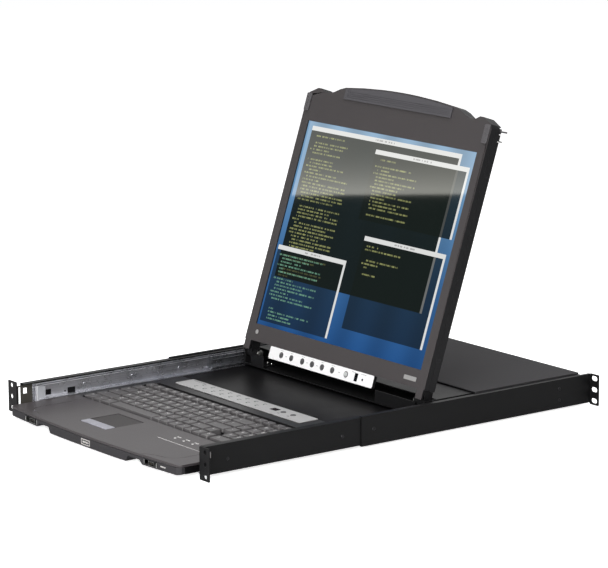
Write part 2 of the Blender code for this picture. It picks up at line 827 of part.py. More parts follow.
def keyboard_top():
    """Palm rest and key surround: openings for keys and touchpad, a curved groove at each end."""
    pad = rectangle((PAD_X[0] - 1, PAD_Y[0] - 17), (PAD_X[1] + 1, PAD_Y[1] + 1), 1.5)
    stems = [circle(x, STATION_BUTTON_Y, STATION_BUTTON_RADIUS + GAP) for x in STATION_BUTTON_X]
    deck = plate([deck_outline(DECK_BACK), key_window(), pad] + stems,
                 DECK_TOP - DECK_THICKNESS, DECK_TOP, "XY")
    line = [(116, -28), (130, -18), (141, -12.8)] + arc(152.5, 9.3, 20, -90, 0, 6) + [(172.5, 75)]
    groove = band(line, 0.9)
    grooves = [plate([points], DECK_TOP - 0.5, DECK_TOP + 5, "XY")
               for points in (groove, mirrored(groove))]
    return cut(soften(deck, 0.6), *grooves)


def keyboard_front():
    """Front rail of the drawer: a pull lip between two deeper ends, each with a socket."""
    top = DECK_TOP - DECK_THICKNESS - GAP
    half = TRAY_HALF_WIDTH
    elevation = [(-half, 5), (-198, 3.8), (-127, 3.8), (-121, 9.2), (-96, 9.2), (-91.5, 1.5),
                 (91.5, 1.5), (96, 9.2), (121, 9.2), (127, 3.8), (198, 3.8), (half, 5),
                 (half, top), (-half, top)]
    bar = plate([elevation], -40, TRAY_FRONT - GAP, "XZ")
    keep_common(bar, plate([deck_outline(20)], -5, 40, "XY"))
    sockets = [box((x0, -40, SOCKET_Z[0]), (x1, -13.5, SOCKET_Z[1])) for x0, x1 in SOCKETS_X]
    return cut(bar, *sockets)


def key_cap(x, y, width, depth, bottom):
    """One cap: a block whose top is drawn in."""
    low = Vector((x + KEY_GAP / 2, y + KEY_GAP / 2, bottom))
    high = Vector((x + width - KEY_GAP / 2, y + depth - KEY_GAP / 2, KEY_TOP))
    cap = box(low, high)
    middle = (low + high) / 2 * MM
    draw_in = 1.5 * MM
    for vertex in cap.data.vertices:
        if vertex.co.z > middle.z:
            vertex.co.x -= math.copysign(draw_in, vertex.co.x - middle.x)
            vertex.co.y -= math.copysign(draw_in, vertex.co.y - middle.y)
    return cap


def key_layout():
    """Each key as name, x, y, width and depth; keys without a name stay with the plate."""
    rows = [
        ((1.25, 1, 1.25, "space_bar", 1, 1, 1, 1, 1, 1, 1), (2, 1)),
        (("left_shift_key",) + (1,) * 10 + (1.75, 1), (1, 1, 1)),
        ((1.75,) + (1,) * 11 + ("enter_key", 1), (1, 1, 1)),
        ((1.5,) + (1,) * 12 + (1.5, 1), (1, 1, 1)),
        ((1,) * 13 + ("backspace_key", 1), (1, 1, 1, 1)),
        ((1,) * 16, (1, 1, 1, 1)),
    ]
    named = {"space_bar": 5.5, "left_shift_key": 2.25, "enter_key": 2.25, "backspace_key": 2}
    keys = []
    for number, row in enumerate(rows):
        y = KEYS_FRONT + number * KEY_ROW_PITCH
        depth = KEY_ROW_PITCH
        if number == len(rows) - 1:
            y += KEY_FUNCTION_GAP
            depth = 16.0
        for left, run in zip((KEYS_LEFT, NUMPAD_LEFT), row):
            x = left
            for key in run:
                name = key if key in named else None
                width = named.get(key, key) * KEY_UNIT
                keys.append((name, x, y, width, depth))
                x += width
    tall_x = NUMPAD_LEFT + 3 * KEY_UNIT
    for number in (0, 2):
        y = KEYS_FRONT + number * KEY_ROW_PITCH
        keys.append((None, tall_x, y, KEY_UNIT, 2 * KEY_ROW_PITCH))
    return keys


def key_bed():
    """Switch plate with the caps that stand on it."""
    bed = box((KEYS_LEFT, 88, 8.5), (186, 213, KEY_PLATE_TOP))
    caps = [key_cap(x, y, width, depth, KEY_PLATE_TOP - GAP)
            for name, x, y, width, depth in key_layout() if name is None]
    return join(bed, gather(caps))


def port_panel():
    """Silver strip with the port lamps, and holes for the two station buttons."""
    rim = rectangle((STRIP_X[0], STRIP_Y[0]), (STRIP_X[1], STRIP_Y[1]), 2.0)
    holes = [circle(x, STATION_BUTTON_Y, STATION_BUTTON_RADIUS + GAP) for x in STATION_BUTTON_X]
    return plate([rim] + holes, DECK_TOP + GAP, DECK_TOP + 1.5, "XY")


# ---------------------------------------------------------------- assembly

SIDES = (("left", -1), ("right", 1))

for label, side in SIDES:
    part(f"side_rail_{label}", side_rail(side), RAIL_PAINT, root)
    part(f"front_ear_{label}", front_ear(side), RAIL_PAINT, root)
    part(f"rear_bracket_{label}", rear_bracket(side), RAIL_PAINT, root)
    part(f"slide_outer_{label}", slide_outer(side), SLIDE_STEEL, root)
    part(f"slide_middle_upper_{label}", slide_middle_upper(side), SLIDE_STEEL, root)
    part(f"slide_middle_lower_{label}", slide_middle_lower(side), SLIDE_STEEL, root)
    part(f"lcd_runner_{label}", lcd_runner(side), SLIDE_STEEL, lcd_slide)
    part(f"keyboard_runner_{label}", keyboard_runner(side), SLIDE_STEEL, keyboard_slide)
    part(f"ball_cage_{label}", ball_cage(side), BALL_STEEL, root)

part("switch_chassis", switch_chassis(), RAIL_PAINT, root)
part("switch_cover", switch_cover(), cover_paint(), root)
part("main_board", main_board(), board_green(), root)
part("power_supply", soften(box((142, 480, 12), (200, 610, 38)), 1.0), zinc_plate(), root)
part("computer_port_bank", computer_port_bank(), port_blue(), root)
part("console_port_block", console_port_block(), port_blue(), root)
INLET_BLACK = inlet_black()
part("power_inlet", power_inlet(), INLET_BLACK, root)
part("power_rocker", power_rocker(), INLET_BLACK, root, (143, BOX_BACK - 6, 23.5))

part("lcd_base", lcd_base(), RAIL_PAINT, lcd_slide)
for label, side in SIDES:
    part(f"hinge_leaf_{label}", hinge_leaf(side), RAIL_PAINT, lcd_slide)
    part(f"hinge_arm_{label}", hinge_arm(side), RAIL_PAINT, lcd_hinge)
    part(f"lcd_catch_{label}", lcd_catch(side), catch_grey(), lcd_hinge, (side * 200.5, 0, 371))
part("lcd_front_bezel", lcd_front_bezel(), bezel_grey(), lcd_hinge)
part("lcd_display", lcd_display(), screen_glass(), lcd_hinge)
part("lcd_back_cover", lcd_back_cover(), back_cover_black(), lcd_hinge)
part("lcd_grip", lcd_grip(), grip_rubber(), lcd_hinge)
part("osd_panel", osd_panel(), panel_white(), lcd_hinge)
for number, place in enumerate(OSD_BUTTON_PLACES, 1):
    x, z = osd_place(place)
    part(f"osd_button_{number}", osd_button(place), BUTTON_DARK, lcd_hinge, (x, LCD_FRONT, z))
x, z = osd_place(OSD_POWER_PLACE)
part("lcd_power_button", osd_button(OSD_POWER_PLACE), power_button_pale(), lcd_hinge,
     (x, LCD_FRONT, z))

part("keyboard_tray", keyboard_tray(), RAIL_PAINT, keyboard_slide)
part("keyboard_top", keyboard_top(), palmrest_grey(), keyboard_slide)
part("keyboard_front", keyboard_front(), front_grey(), keyboard_slide)
KEY_GREY = key_grey()
part("key_bed", key_bed(), KEY_GREY, keyboard_slide)
for name, x, y, width, depth in key_layout():
    if name:
        cap = key_cap(x, y, width, depth, KEY_PLATE_TOP + KEY_TRAVEL + GAP)
        part(name, cap, KEY_GREY, keyboard_slide, (x + width / 2, y + depth / 2, KEY_TOP))
pad_low = (PAD_X[0], PAD_Y[0], DECK_TOP - 2.5)
part("touchpad", box(pad_low, (PAD_X[1], PAD_Y[1], DECK_TOP - 0.4)), touchpad_grey(), keyboard_slide)
pad_middle = sum(PAD_X) / 2
TOUCHPAD_BUTTON_GREY = touchpad_button_grey()
for label, x0, x1 in (("left", PAD_X[0], pad_middle - GAP), ("right", pad_middle + GAP, PAD_X[1])):
    low = (x0, PAD_Y[0] - 16, DECK_TOP - 2.5)
    button = soften(box(low, (x1, PAD_Y[0] - 1, DECK_TOP + 0.5)), 0.5)
    middle = ((x0 + x1) / 2, PAD_Y[0] - 8.5, DECK_TOP)
    part(f"touchpad_button_{label}", button, TOUCHPAD_BUTTON_GREY, keyboard_slide, middle)
part("port_panel", port_panel(), strip_silver(), keyboard_slide)
for label, x in zip(("down", "up"), STATION_BUTTON_X):
    button = rod((x, STATION_BUTTON_Y, DECK_TOP - 1.2), (x, STATION_BUTTON_Y, DECK_TOP + 2.2),
                 STATION_BUTTON_RADIUS, 16)
    part(f"station_button_{label}", button, BUTTON_DARK, keyboard_slide,
         (x, STATION_BUTTON_Y, DECK_TOP))
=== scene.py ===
"""Looks of a 1U console drawer: steel rack frame and slides, switch box, LCD panel and keyboard.

Sizes are millimetres from the front faces of the rack ears, the middle of the rack and the lower
edge of the ears; at() turns them into the frame's metres. The panel's own sizes are taken from its
hinge with the panel upright, and PANEL leans them back. The frame gives the rest.
"""
import json
import math

import bmesh
import bpy
from mathutils import Matrix, Vector

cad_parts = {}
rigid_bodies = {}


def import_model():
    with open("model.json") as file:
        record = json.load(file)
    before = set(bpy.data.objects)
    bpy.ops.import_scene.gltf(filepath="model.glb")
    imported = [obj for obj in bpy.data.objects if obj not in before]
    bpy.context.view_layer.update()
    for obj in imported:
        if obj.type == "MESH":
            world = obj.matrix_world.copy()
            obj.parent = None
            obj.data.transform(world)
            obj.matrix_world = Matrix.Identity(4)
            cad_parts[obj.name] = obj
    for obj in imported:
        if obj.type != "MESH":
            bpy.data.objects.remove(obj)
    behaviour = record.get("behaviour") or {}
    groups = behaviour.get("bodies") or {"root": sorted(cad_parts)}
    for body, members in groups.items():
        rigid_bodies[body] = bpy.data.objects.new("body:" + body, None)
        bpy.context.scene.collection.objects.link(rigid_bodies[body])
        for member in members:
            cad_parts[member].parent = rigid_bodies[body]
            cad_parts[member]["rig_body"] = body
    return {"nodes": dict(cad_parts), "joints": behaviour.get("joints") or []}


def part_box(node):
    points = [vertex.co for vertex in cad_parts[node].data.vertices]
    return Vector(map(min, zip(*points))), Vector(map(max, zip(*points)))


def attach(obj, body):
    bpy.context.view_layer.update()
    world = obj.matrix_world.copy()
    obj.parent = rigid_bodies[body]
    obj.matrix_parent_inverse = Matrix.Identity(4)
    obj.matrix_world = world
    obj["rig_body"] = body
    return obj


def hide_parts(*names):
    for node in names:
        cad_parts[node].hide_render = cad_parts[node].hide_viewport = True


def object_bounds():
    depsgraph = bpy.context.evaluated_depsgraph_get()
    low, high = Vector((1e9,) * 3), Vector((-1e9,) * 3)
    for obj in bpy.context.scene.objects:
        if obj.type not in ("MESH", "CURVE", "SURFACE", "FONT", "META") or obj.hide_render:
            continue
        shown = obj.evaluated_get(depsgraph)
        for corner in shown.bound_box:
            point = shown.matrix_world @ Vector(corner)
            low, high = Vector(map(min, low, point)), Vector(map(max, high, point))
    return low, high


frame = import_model()
cad_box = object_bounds()


# ---------------------------------------------------------------- rack frame
# Two long channels of folded 1.2 mm steel with a rack ear riveted inside each front end and a
# telescopic bracket over each back end. All are powder coated black with a fine orange peel, and
# the coat is rubbed a little thinner along the folds and cut edges.

MM = 0.001
FRONT_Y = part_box("front_ear_left")[0].y
SIDES = (("left", -1), ("right", 1))
SHARP_ANGLE = math.radians(50)


def at(x, y, z):
    """A place on the drawer, in metres."""
    return Vector((x * MM, FRONT_Y + y * MM, z * MM))


def add(tree, kind, inputs=(), **settings):
    """A node with its settings. Inputs pair a socket's name or number with a value or a socket."""
    node = tree.nodes.new(kind)
    for key, value in settings.items():
        setattr(node, key, value)
    for key, value in dict(inputs).items():
        if isinstance(value, bpy.types.NodeSocket):
            tree.links.new(value, node.inputs[key])
        else:
            node.inputs[key].default_value = value
    return node


def calculate(tree, operation, *values):
    """The result of a math node."""
    return add(tree, "ShaderNodeMath", enumerate(values), operation=operation).outputs[0]


def spread(tree, value, low, high, to_low, to_high):
    """A value stretched from one range to another and kept inside it."""
    ends = {"Value": value, "From Min": low, "From Max": high, "To Min": to_low, "To Max": to_high}
    return add(tree, "ShaderNodeMapRange", ends).outputs[0]


def mix(tree, factor, first, second, blend="MIX"):
    """The colour between two colours."""
    node = add(tree, "ShaderNodeMix", {0: factor, 6: first, 7: second}, data_type="RGBA",
               blend_type=blend)
    return node.outputs[2]


def shaded(tree, colour, amount):
    """A colour made lighter or darker."""
    scaled = add(tree, "ShaderNodeVectorMath", {0: colour, "Scale": amount}, operation="SCALE")
    return scaled.outputs[0]


def grey(value):
    return (value, value, value, 1.0)


def node_group(name, inputs, outputs):
    """An empty shader group with named sockets, its input node's sockets and its output node."""
    tree = bpy.data.node_groups.new(name, "ShaderNodeTree")
    for label, kind, value in inputs:
        socket = tree.interface.new_socket(label, in_out="INPUT", socket_type="NodeSocket" + kind)
        socket.default_value = value
    for label, kind in outputs:
        tree.interface.new_socket(label, in_out="OUTPUT", socket_type="NodeSocket" + kind)
    given = tree.nodes.new("NodeGroupInput").outputs
    return tree, given, tree.nodes.new("NodeGroupOutput")


def give(tree, result, **values):
    """Links values to a group's outputs or a shader's inputs."""
    for label, value in values.items():
        tree.links.new(value, result.inputs[label.replace("_", " ")])


def make_skin_group():
    """Painted or moulded surface: fine grain, faint clouding, and edges rubbed where marked."""
    tree, given, result = node_group(
        "fine_skin",
        [("Colour", "Color", grey(0.02)), ("Worn Colour", "Color", grey(0.1)),
         ("Roughness", "Float", 0.5), ("Grain Size", "Float", 1200.0),
         ("Grain Depth", "Float", 0.3), ("Wear", "Float", 0.3), ("Clouding", "Float", 0.1)],
        [("Colour", "Color"), ("Roughness", "Float"), ("Normal", "Vector")])
    place = add(tree, "ShaderNodeTexCoord").outputs["Object"]
    grain = add(tree, "ShaderNodeTexNoise",
                {"Vector": place, "Scale": given["Grain Size"], "Detail": 2.0}).outputs[0]
    cloud = add(tree, "ShaderNodeTexNoise",
                {"Vector": place, "Scale": 14.0, "Detail": 4.0, "Roughness": 0.6}).outputs[0]
    rub = add(tree, "ShaderNodeTexNoise",
              {"Vector": place, "Scale": 60.0, "Detail": 5.0, "Roughness": 0.7}).outputs[0]
    edge = add(tree, "ShaderNodeAttribute", attribute_name="edge").outputs["Fac"]
    rubbed = calculate(tree, "MULTIPLY", edge, spread(tree, rub, 0.42, 0.6, 0.0, 1.0))
    rubbed = calculate(tree, "MULTIPLY", rubbed, given["Wear"])
    cloudy = calculate(tree, "MULTIPLY", calculate(tree, "SUBTRACT", cloud, 0.5),
                       given["Clouding"])
    lightness = calculate(tree, "ADD", 1.0, calculate(tree, "MULTIPLY", cloudy, 2.0))
    colour = mix(tree, rubbed, shaded(tree, given["Colour"], lightness), given["Worn Colour"])
    rough = calculate(tree, "ADD", given["Roughness"], calculate(tree, "MULTIPLY", cloudy, 1.2))
    rough = calculate(tree, "SUBTRACT", rough, calculate(tree, "MULTIPLY", rubbed, 0.15))
    bump = add(tree, "ShaderNodeBump",
               {"Strength": given["Grain Depth"], "Distance": 0.0002, "Height": grain})
    give(tree, result, Colour=colour, Roughness=rough, Normal=bump.outputs["Normal"])
    return tree


FINE_SKIN = make_skin_group()


def new_material(name, **constants):
    """A material's tree and its Principled shader, with its constant values set on the shader."""
    made = bpy.data.materials.new(name)
    made.use_nodes = True
    shader = made.node_tree.nodes["Principled BSDF"]
    for label, value in constants.items():
        shader.inputs[label.replace("_", " ")].default_value = value
    return made, made.node_tree, shader


def skinned(name, group, values, **constants):
    """A material whose colour, roughness and grain come from a shader group."""
    made, tree, shader = new_material(name, **constants)
    skin = add(tree, "ShaderNodeGroup", values, node_tree=group).outputs
    give(tree, shader, Base_Color=skin["Colour"], Roughness=skin["Roughness"],
         Normal=skin["Normal"])
    return made


def coated(name, colour, roughness, specular=0.3, metallic=0.0, grain=1200.0, depth=0.3,
           worn=None, wear=0.3, clouding=0.08):
    """A painted or moulded finish."""
    worn = worn or [min(1.0, channel * 2.5 + 0.01) for channel in colour]
    values = {"Colour": (*colour, 1.0), "Worn Colour": (*worn, 1.0), "Roughness": roughness,
              "Grain Size": grain, "Grain Depth": depth, "Wear": wear, "Clouding": clouding}
    return skinned(name, FINE_SKIN, values, Metallic=metallic, Specular_IOR_Level=specular)


def add_object(name, data):
    """An object in the scene, at the origin."""
    made = bpy.data.objects.new(name, data)
    bpy.context.scene.collection.objects.link(made)
    return made


def object_from(name, bm, *materials):
    """A bmesh made into an object with its materials."""
    mesh = bpy.data.meshes.new(name)
    bm.to_mesh(mesh)
    bm.free()
    for material in materials:
        mesh.materials.append(material)
    return add_object(name, mesh)


def finish_piece(name, bm, material, body, stands_for=()):
    """A bmesh made into a piece that rides on a body, smooth apart from its sharp edges."""
    piece = object_from(name, bm, *(material if isinstance(material, list) else [material]))
    piece.data.shade_smooth()
    piece.data.set_sharp_from_angle(angle=SHARP_ANGLE)
    weighted = piece.modifiers.new("flat faces", "WEIGHTED_NORMAL")
    weighted.keep_sharp = True
    weighted.weight = 80
    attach(piece, body)
    if stands_for:
        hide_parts(*stands_for)
    return piece


def bevelled(bm, edges, width, segments=2):
    """Rounds edges, and marks the new faces as edges for the wear in the finish."""
    mark = bm.faces.layers.float.get("edge") or bm.faces.layers.float.new("edge")
    made = bmesh.ops.bevel(bm, geom=edges, offset=width * MM, offset_type="OFFSET",
                           segments=segments, profile=0.5, affect="EDGES", clamp_overlap=True,
                           material=-1)
    for face in made["faces"]:
        face[mark] = 1.0


def corner_edges(bm, degrees=30.0):
    """Edges whose faces turn by more than that angle."""
    limit = math.radians(degrees)
    return [edge for edge in bm.edges if edge.is_manifold and edge.calc_face_angle() > limit]


def rounded(node, material, width, segments=1, shape=None):
    """The CAD node's own shape with its edges rounded, standing for the node."""
    bm = bmesh.new()
    bm.from_mesh(frame["nodes"][node].data)
    bm.faces.layers.float.new("edge")
    bmesh.ops.remove_doubles(bm, verts=bm.verts, dist=0.002 * MM)
    bmesh.ops.dissolve_limit(bm, angle_limit=math.radians(1.0), verts=bm.verts, edges=bm.edges)
    if shape:
        shape(bm)
    bevelled(bm, corner_edges(bm), width, segments)
    body = frame["nodes"][node]["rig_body"]
    return finish_piece(node + "_finished", bm, material, body, [node])


RAIL_COAT = coated("rail_powder_coat", (0.0085, 0.0085, 0.009), 0.42, specular=0.22, depth=0.35,
                   wear=0.25, clouding=0.12)


def two_tone_and_painted_shade(made, far_colour, line_y, end_y=None):
    """Changes a coat's colour beyond a line across the rack, at once or over a stretch. Short steps
    give the ear and the palm rest a second tone of their own; the long fade on the slides is
    painted shade.
    """
    tree = made.node_tree
    skin = next(node for node in tree.nodes if node.type == "GROUP")
    place = add(tree, "ShaderNodeTexCoord").outputs["Object"]
    depth = add(tree, "ShaderNodeSeparateXYZ", {0: place}).outputs["Y"]
    end_y = end_y or line_y + 0.6
    beyond = spread(tree, depth, at(0, line_y, 0).y, at(0, end_y, 0).y, 0.0, 1.0)
    near = tuple(skin.inputs["Colour"].default_value)
    tree.links.new(mix(tree, beyond, near, (*far_colour, 1.0)), skin.inputs["Colour"])


EAR_COAT = coated("ear_powder_coat", (0.014, 0.013, 0.0135), 0.42, specular=0.3, depth=0.35,
                  wear=0.35, clouding=0.12)
two_tone_and_painted_shade(EAR_COAT, (0.075, 0.07, 0.06), 2.2)
for label, side in SIDES:
    for node in (f"side_rail_{label}", f"rear_bracket_{label}"):
        rounded(node, RAIL_COAT, 0.28, 1)
rounded("front_ear_left", EAR_COAT, 0.28, 1)
rounded("front_ear_right", RAIL_COAT, 0.28, 1)


# ---------------------------------------------------------------- frame fasteners
# Pan-head and countersunk screws, black zinc on the rails and bright zinc inside, each with a
# cross recess. They hold the slides and ears to the rails and lock the telescopic brackets.

def towards(place, axis):
    """The place and turn of something whose own axis is Z."""
    turn = Vector(axis).to_track_quat("Z", "Y").to_matrix().to_4x4()
    return Matrix.Translation(place) @ turn


def cross_recess(radius):
    """The 24 points of a plus sign, corner and middle by turns."""
    reach, half = radius * 0.62, radius * 0.16
    corners = []
    for quarter in range(4):
        turn = Matrix.Rotation(math.radians(90 * quarter), 2)
        corners += [turn @ Vector(point) for point in ((reach, -half), (reach, half), (half, half))]
    points = []
    for first, second in zip(corners, corners[1:] + corners[:1]):
        points += [first, (first + second) / 2]
    return points


def end_face(verts, axis=2, way=1):
    """The face of these vertices that lies farthest along an axis."""
    faces = {face for vert in verts for face in vert.link_faces}
    return max(faces, key=lambda face: way * face.calc_center_median()[axis])


def screw_head(bm, matrix, radius, height):
    """A low domed head with a cross recess."""
    radius, height = radius * MM, height * MM
    before = set(bm.verts)
    bmesh.ops.create_cone(bm, cap_ends=True, segments=24, radius1=radius, radius2=radius * 0.92,
                          depth=height)
    top = end_face([vert for vert in bm.verts if vert not in before])
    bmesh.ops.inset_individual(bm, faces=[top], thickness=radius * 0.14, depth=height * 0.25)
    bmesh.ops.inset_individual(bm, faces=[top], thickness=radius * 0.1, depth=0)
    ring = sorted(top.verts, key=lambda vert: math.atan2(vert.co.y, vert.co.x) % math.tau)
    outline = cross_recess(radius)
    outline = outline[2:] + outline[:2]
    for vert, point in zip(ring, outline):
        vert.co.xy = point
    bmesh.ops.inset_individual(bm, faces=[top], thickness=radius * 0.03, depth=-height * 0.7)
    lift = Matrix.Translation((0, 0, height / 2))
    bmesh.ops.transform(bm, matrix=matrix @ lift,
                        verts=[vert for vert in bm.verts if vert not in before])


def screws(name, places, axis, radius, height, material, body):
    """A row of like screws."""
    bm = bmesh.new()
    for place in places:
        screw_head(bm, towards(place, axis), radius, height)
    return finish_piece(name, bm, material, body)


BLACK_SCREW = coated("black_zinc_screw", (0.03, 0.03, 0.032), 0.35, specular=0.5, metallic=0.6,
                     grain=3000.0, depth=0.1, wear=0.0, clouding=0.2)
BRIGHT_SCREW = coated("bright_zinc_screw", (0.62, 0.62, 0.6), 0.28, specular=0.5, metallic=1.0,
                      grain=2500.0, depth=0.1, wear=0.0, clouding=0.15)
RAIL_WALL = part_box("side_rail_right")[1].x / MM
BRACKET_WALL, SLIDE_WALL = 224.2, 219.9
BRACKET_SCREWS = ((276.0, 24.0), (600.0, 30.0), (600.0, 14.0))
for label, side in SIDES:
    outwards, inwards = (side, 0, 0), (-side, 0, 0)
    screws(f"rail_screws_{label}", [at(side * RAIL_WALL, y, 21.0) for y in (42.0, 226.0)],
           outwards, 2.4, 0.5, BLACK_SCREW, "rack_frame")
    screws(f"bracket_screws_{label}", [at(side * BRACKET_WALL, y, z) for y, z in BRACKET_SCREWS],
           outwards, 2.6, 0.9, BLACK_SCREW, f"rear_bracket_{label}")
    screws(f"slide_screws_{label}",
           [at(side * SLIDE_WALL, y, 26.6) for y in (474.0, 520.0, 580.0)],
           inwards, 2.2, 0.8, BRIGHT_SCREW, "rack_frame")


# ---------------------------------------------------------------- slides
# Telescopic ball-bearing slides, cold-rolled steel with a blue-grey zinc plate: an outer track on
# each rail, a middle member in each of its two channels, and a runner on each drawer. The rolls
# leave streaks along the length, and the balls leave bright lines in the lips.

def make_rolled_group():
    """Plated rolled steel with streaks along the rack's depth."""
    tree, given, result = node_group(
        "rolled_steel",
        [("Colour", "Color", grey(0.3)), ("Streak Colour", "Color", grey(0.5)),
         ("Roughness", "Float", 0.35), ("Streaks", "Float", 0.5)],
        [("Colour", "Color"), ("Roughness", "Float"), ("Normal", "Vector")])
    place = add(tree, "ShaderNodeTexCoord").outputs["Object"]
    along = add(tree, "ShaderNodeMapping", {"Vector": place, "Scale": (900.0, 9.0, 900.0)})
    streak = add(tree, "ShaderNodeTexNoise",
                 {"Vector": along.outputs[0], "Scale": 1.0, "Detail": 3.0}).outputs[0]
    stain = add(tree, "ShaderNodeTexNoise",
                {"Vector": place, "Scale": 28.0, "Detail": 5.0, "Roughness": 0.65}).outputs[0]
    mask = calculate(tree, "MULTIPLY", spread(tree, streak, 0.4, 0.62, 0.0, 1.0),
                     given["Streaks"])
    lightness = spread(tree, stain, 0.3, 0.7, 0.85, 1.15)
    colour = shaded(tree, mix(tree, mask, given["Colour"], given["Streak Colour"]), lightness)
    rough = calculate(tree, "ADD", given["Roughness"], spread(tree, stain, 0.3, 0.7, -0.06, 0.1))
    rough = calculate(tree, "SUBTRACT", rough, calculate(tree, "MULTIPLY", mask, 0.08))
    bump = add(tree, "ShaderNodeBump", {"Strength": 0.12, "Distance": 0.0001, "Height": streak})
    give(tree, result, Colour=colour, Roughness=rough, Normal=bump.outputs["Normal"])
    return tree


ROLLED_STEEL = make_rolled_group()


def plated(name, colour, streak, roughness, streaks=0.5, metallic=0.9):
    """A plated steel finish."""
    values = {"Colour": (*colour, 1.0), "Streak Colour": (*streak, 1.0), "Roughness": roughness,
              "Streaks": streaks}
    return skinned(name, ROLLED_STEEL, values, Metallic=metallic)


SLIDE_PLATE_SHADED = plated("slide_zinc_plate_painted_shade", (0.76, 0.76, 0.8), (0.9, 0.9, 0.94), 0.3, 0.6, 0.85)
# Painted shade: the plate darkens from 60 mm to 420 mm behind the ears, so that the slides' far
# ends look shaded.
two_tone_and_painted_shade(SLIDE_PLATE_SHADED, (0.30, 0.30, 0.34), 60.0, 420.0)
RUNNER_PLATE = plated("runner_zinc_plate", (0.36, 0.37, 0.40), (0.5, 0.51, 0.54), 0.32, 0.5)
for label, side in SIDES:
    for member in ("outer", "middle_upper", "middle_lower"):
        rounded(f"slide_{member}_{label}", SLIDE_PLATE_SHADED, 0.2, 1)
    rounded(f"lcd_runner_{label}", RUNNER_PLATE, 0.2, 1)
    rounded(f"keyboard_runner_{label}", RUNNER_PLATE, 0.3, 1)
    rounded(f"ball_cage_{label}", RUNNER_PLATE, 0.1, 1)


# ---------------------------------------------------------------- slide stops
# A pale acetal buffer block is clipped on the front end of each upper middle member, and black
# rubber damper pads are glued in its web behind that. Dimples pressed in the web stiffen it.

def block(bm, low, high, matrix=None):
    """A box between two corners, in millimetres from the rack's own zero unless placed."""
    made = bmesh.ops.create_cube(bm, size=1.0)["verts"]
    low, high = Vector(low), Vector(high)
    bmesh.ops.scale(bm, vec=(high - low) * MM, verts=made)
    bmesh.ops.translate(bm, vec=(high + low) / 2 * MM, verts=made)
    matrix = matrix or Matrix.Translation((0, FRONT_Y, 0))
    bmesh.ops.transform(bm, matrix=matrix, verts=made)
    return made


def edges_of(verts):
    """Every edge among these vertices."""
    return list({edge for vert in verts for edge in vert.link_edges})


def soft_block(bm, low, high, width, segments=2, matrix=None):
    """A box with rounded edges."""
    bevelled(bm, edges_of(block(bm, low, high, matrix)), width, segments)


def side_block(bm, side, x, y, z, matrix=None):
    """A box given by its ranges on the right, on that side of the rack."""
    x0, x1 = sorted((side * x[0], side * x[1]))
    return block(bm, (x0, y[0], z[0]), (x1, y[1], z[1]), matrix)


ACETAL = coated("acetal_buffer", (0.52, 0.53, 0.56), 0.45, specular=0.4, grain=900.0, depth=0.1)
PAD_BLACK = coated("damper_pad_rubber", (0.006, 0.006, 0.007), 0.6, specular=0.2, grain=900.0,
                   depth=0.3)
# The patches close windows that the member has a little way off from where its pads belong.
WEB_DIMPLE_X, WEB_PLATE_X, WEB_PAD_X = 217.6, (217.75, 218.65), (217.2, 217.9)
WEB_PLATES = (((46.6, 57.4), (24.6, 34.4)), ((69.6, 75.4), (25.6, 30.4)),
              ((79.6, 85.4), (25.6, 30.4)))
WEB_PADS = (((42.6, 54.3), (19.5, 27.2)), ((81.6, 93.7), (17.2, 25.0)),
            ((76.4, 78.2), (20.0, 22.0)))
for label, side in SIDES:
    bm = bmesh.new()
    made = side_block(bm, side, (211.5, 217.3), (28.5, 42.3), (12.9, 35.4))
    bevelled(bm, edges_of(made), 0.8)
    finish_piece(f"slide_buffer_{label}", bm, ACETAL, "upper_middle_slides")
    bm = bmesh.new()
    for y in (110.0, 190.0, 270.0):
        dimple = bmesh.ops.create_uvsphere(bm, u_segments=16, v_segments=8, radius=2.2 * MM)
        place = Matrix.Translation(at(side * WEB_DIMPLE_X, y, 27))
        squeeze = Matrix.Diagonal((0.28, 1.0, 1.0, 1.0))
        bmesh.ops.transform(bm, matrix=place @ squeeze, verts=dimple["verts"])
    for y, z in WEB_PLATES:
        side_block(bm, side, WEB_PLATE_X, y, z)
    finish_piece(f"slide_dimples_{label}", bm, SLIDE_PLATE_SHADED, "upper_middle_slides")
    bm = bmesh.new()
    for y, z in WEB_PADS:
        bevelled(bm, edges_of(side_block(bm, side, WEB_PAD_X, y, z)), 0.15, 1)
    finish_piece(f"slide_damper_pads_{label}", bm, PAD_BLACK, "upper_middle_slides")


# ---------------------------------------------------------------- switch box
# Steel tray with a dark grey coated lid, both 1.2 mm. Two rows of blue high-density connectors
# with jack nuts, console connectors, a mains inlet and a rocker sit in windows in the back wall.

COVER_COAT = coated("cover_powder_coat", (0.055, 0.053, 0.056), 0.6, specular=0.12, grain=1000.0,
                    depth=0.45, clouding=0.06, wear=0.2)
rounded("switch_chassis", RAIL_COAT, 0.25, 1)
rounded("switch_cover", COVER_COAT, 0.35, 2)
PORT_BLUE = coated("port_blue_moulding", (0.012, 0.045, 0.28), 0.42, specular=0.45, grain=2000.0,
                   depth=0.12)
PORT_BLACK = coated("port_black_moulding", (0.012, 0.012, 0.013), 0.5, specular=0.35,
                    grain=2000.0, depth=0.15)
rounded("computer_port_bank", PORT_BLACK, 0.2, 1)
rounded("console_port_block", PORT_BLACK, 0.2, 1)
rounded("power_inlet", PORT_BLACK, 0.3, 1)
rounded("power_rocker", PORT_BLACK, 0.3, 2)

GREEN_BOARD = coated("green_solder_mask", (0.012, 0.10, 0.04), 0.35, specular=0.5, grain=260.0,
                     depth=0.15, clouding=0.3)
ZINC_SHEET = plated("zinc_sheet", (0.5, 0.51, 0.52), (0.62, 0.63, 0.64), 0.36, 0.35)
rounded("main_board", GREEN_BOARD, 0.1, 1)
rounded("power_supply", ZINC_SHEET, 0.3, 1)

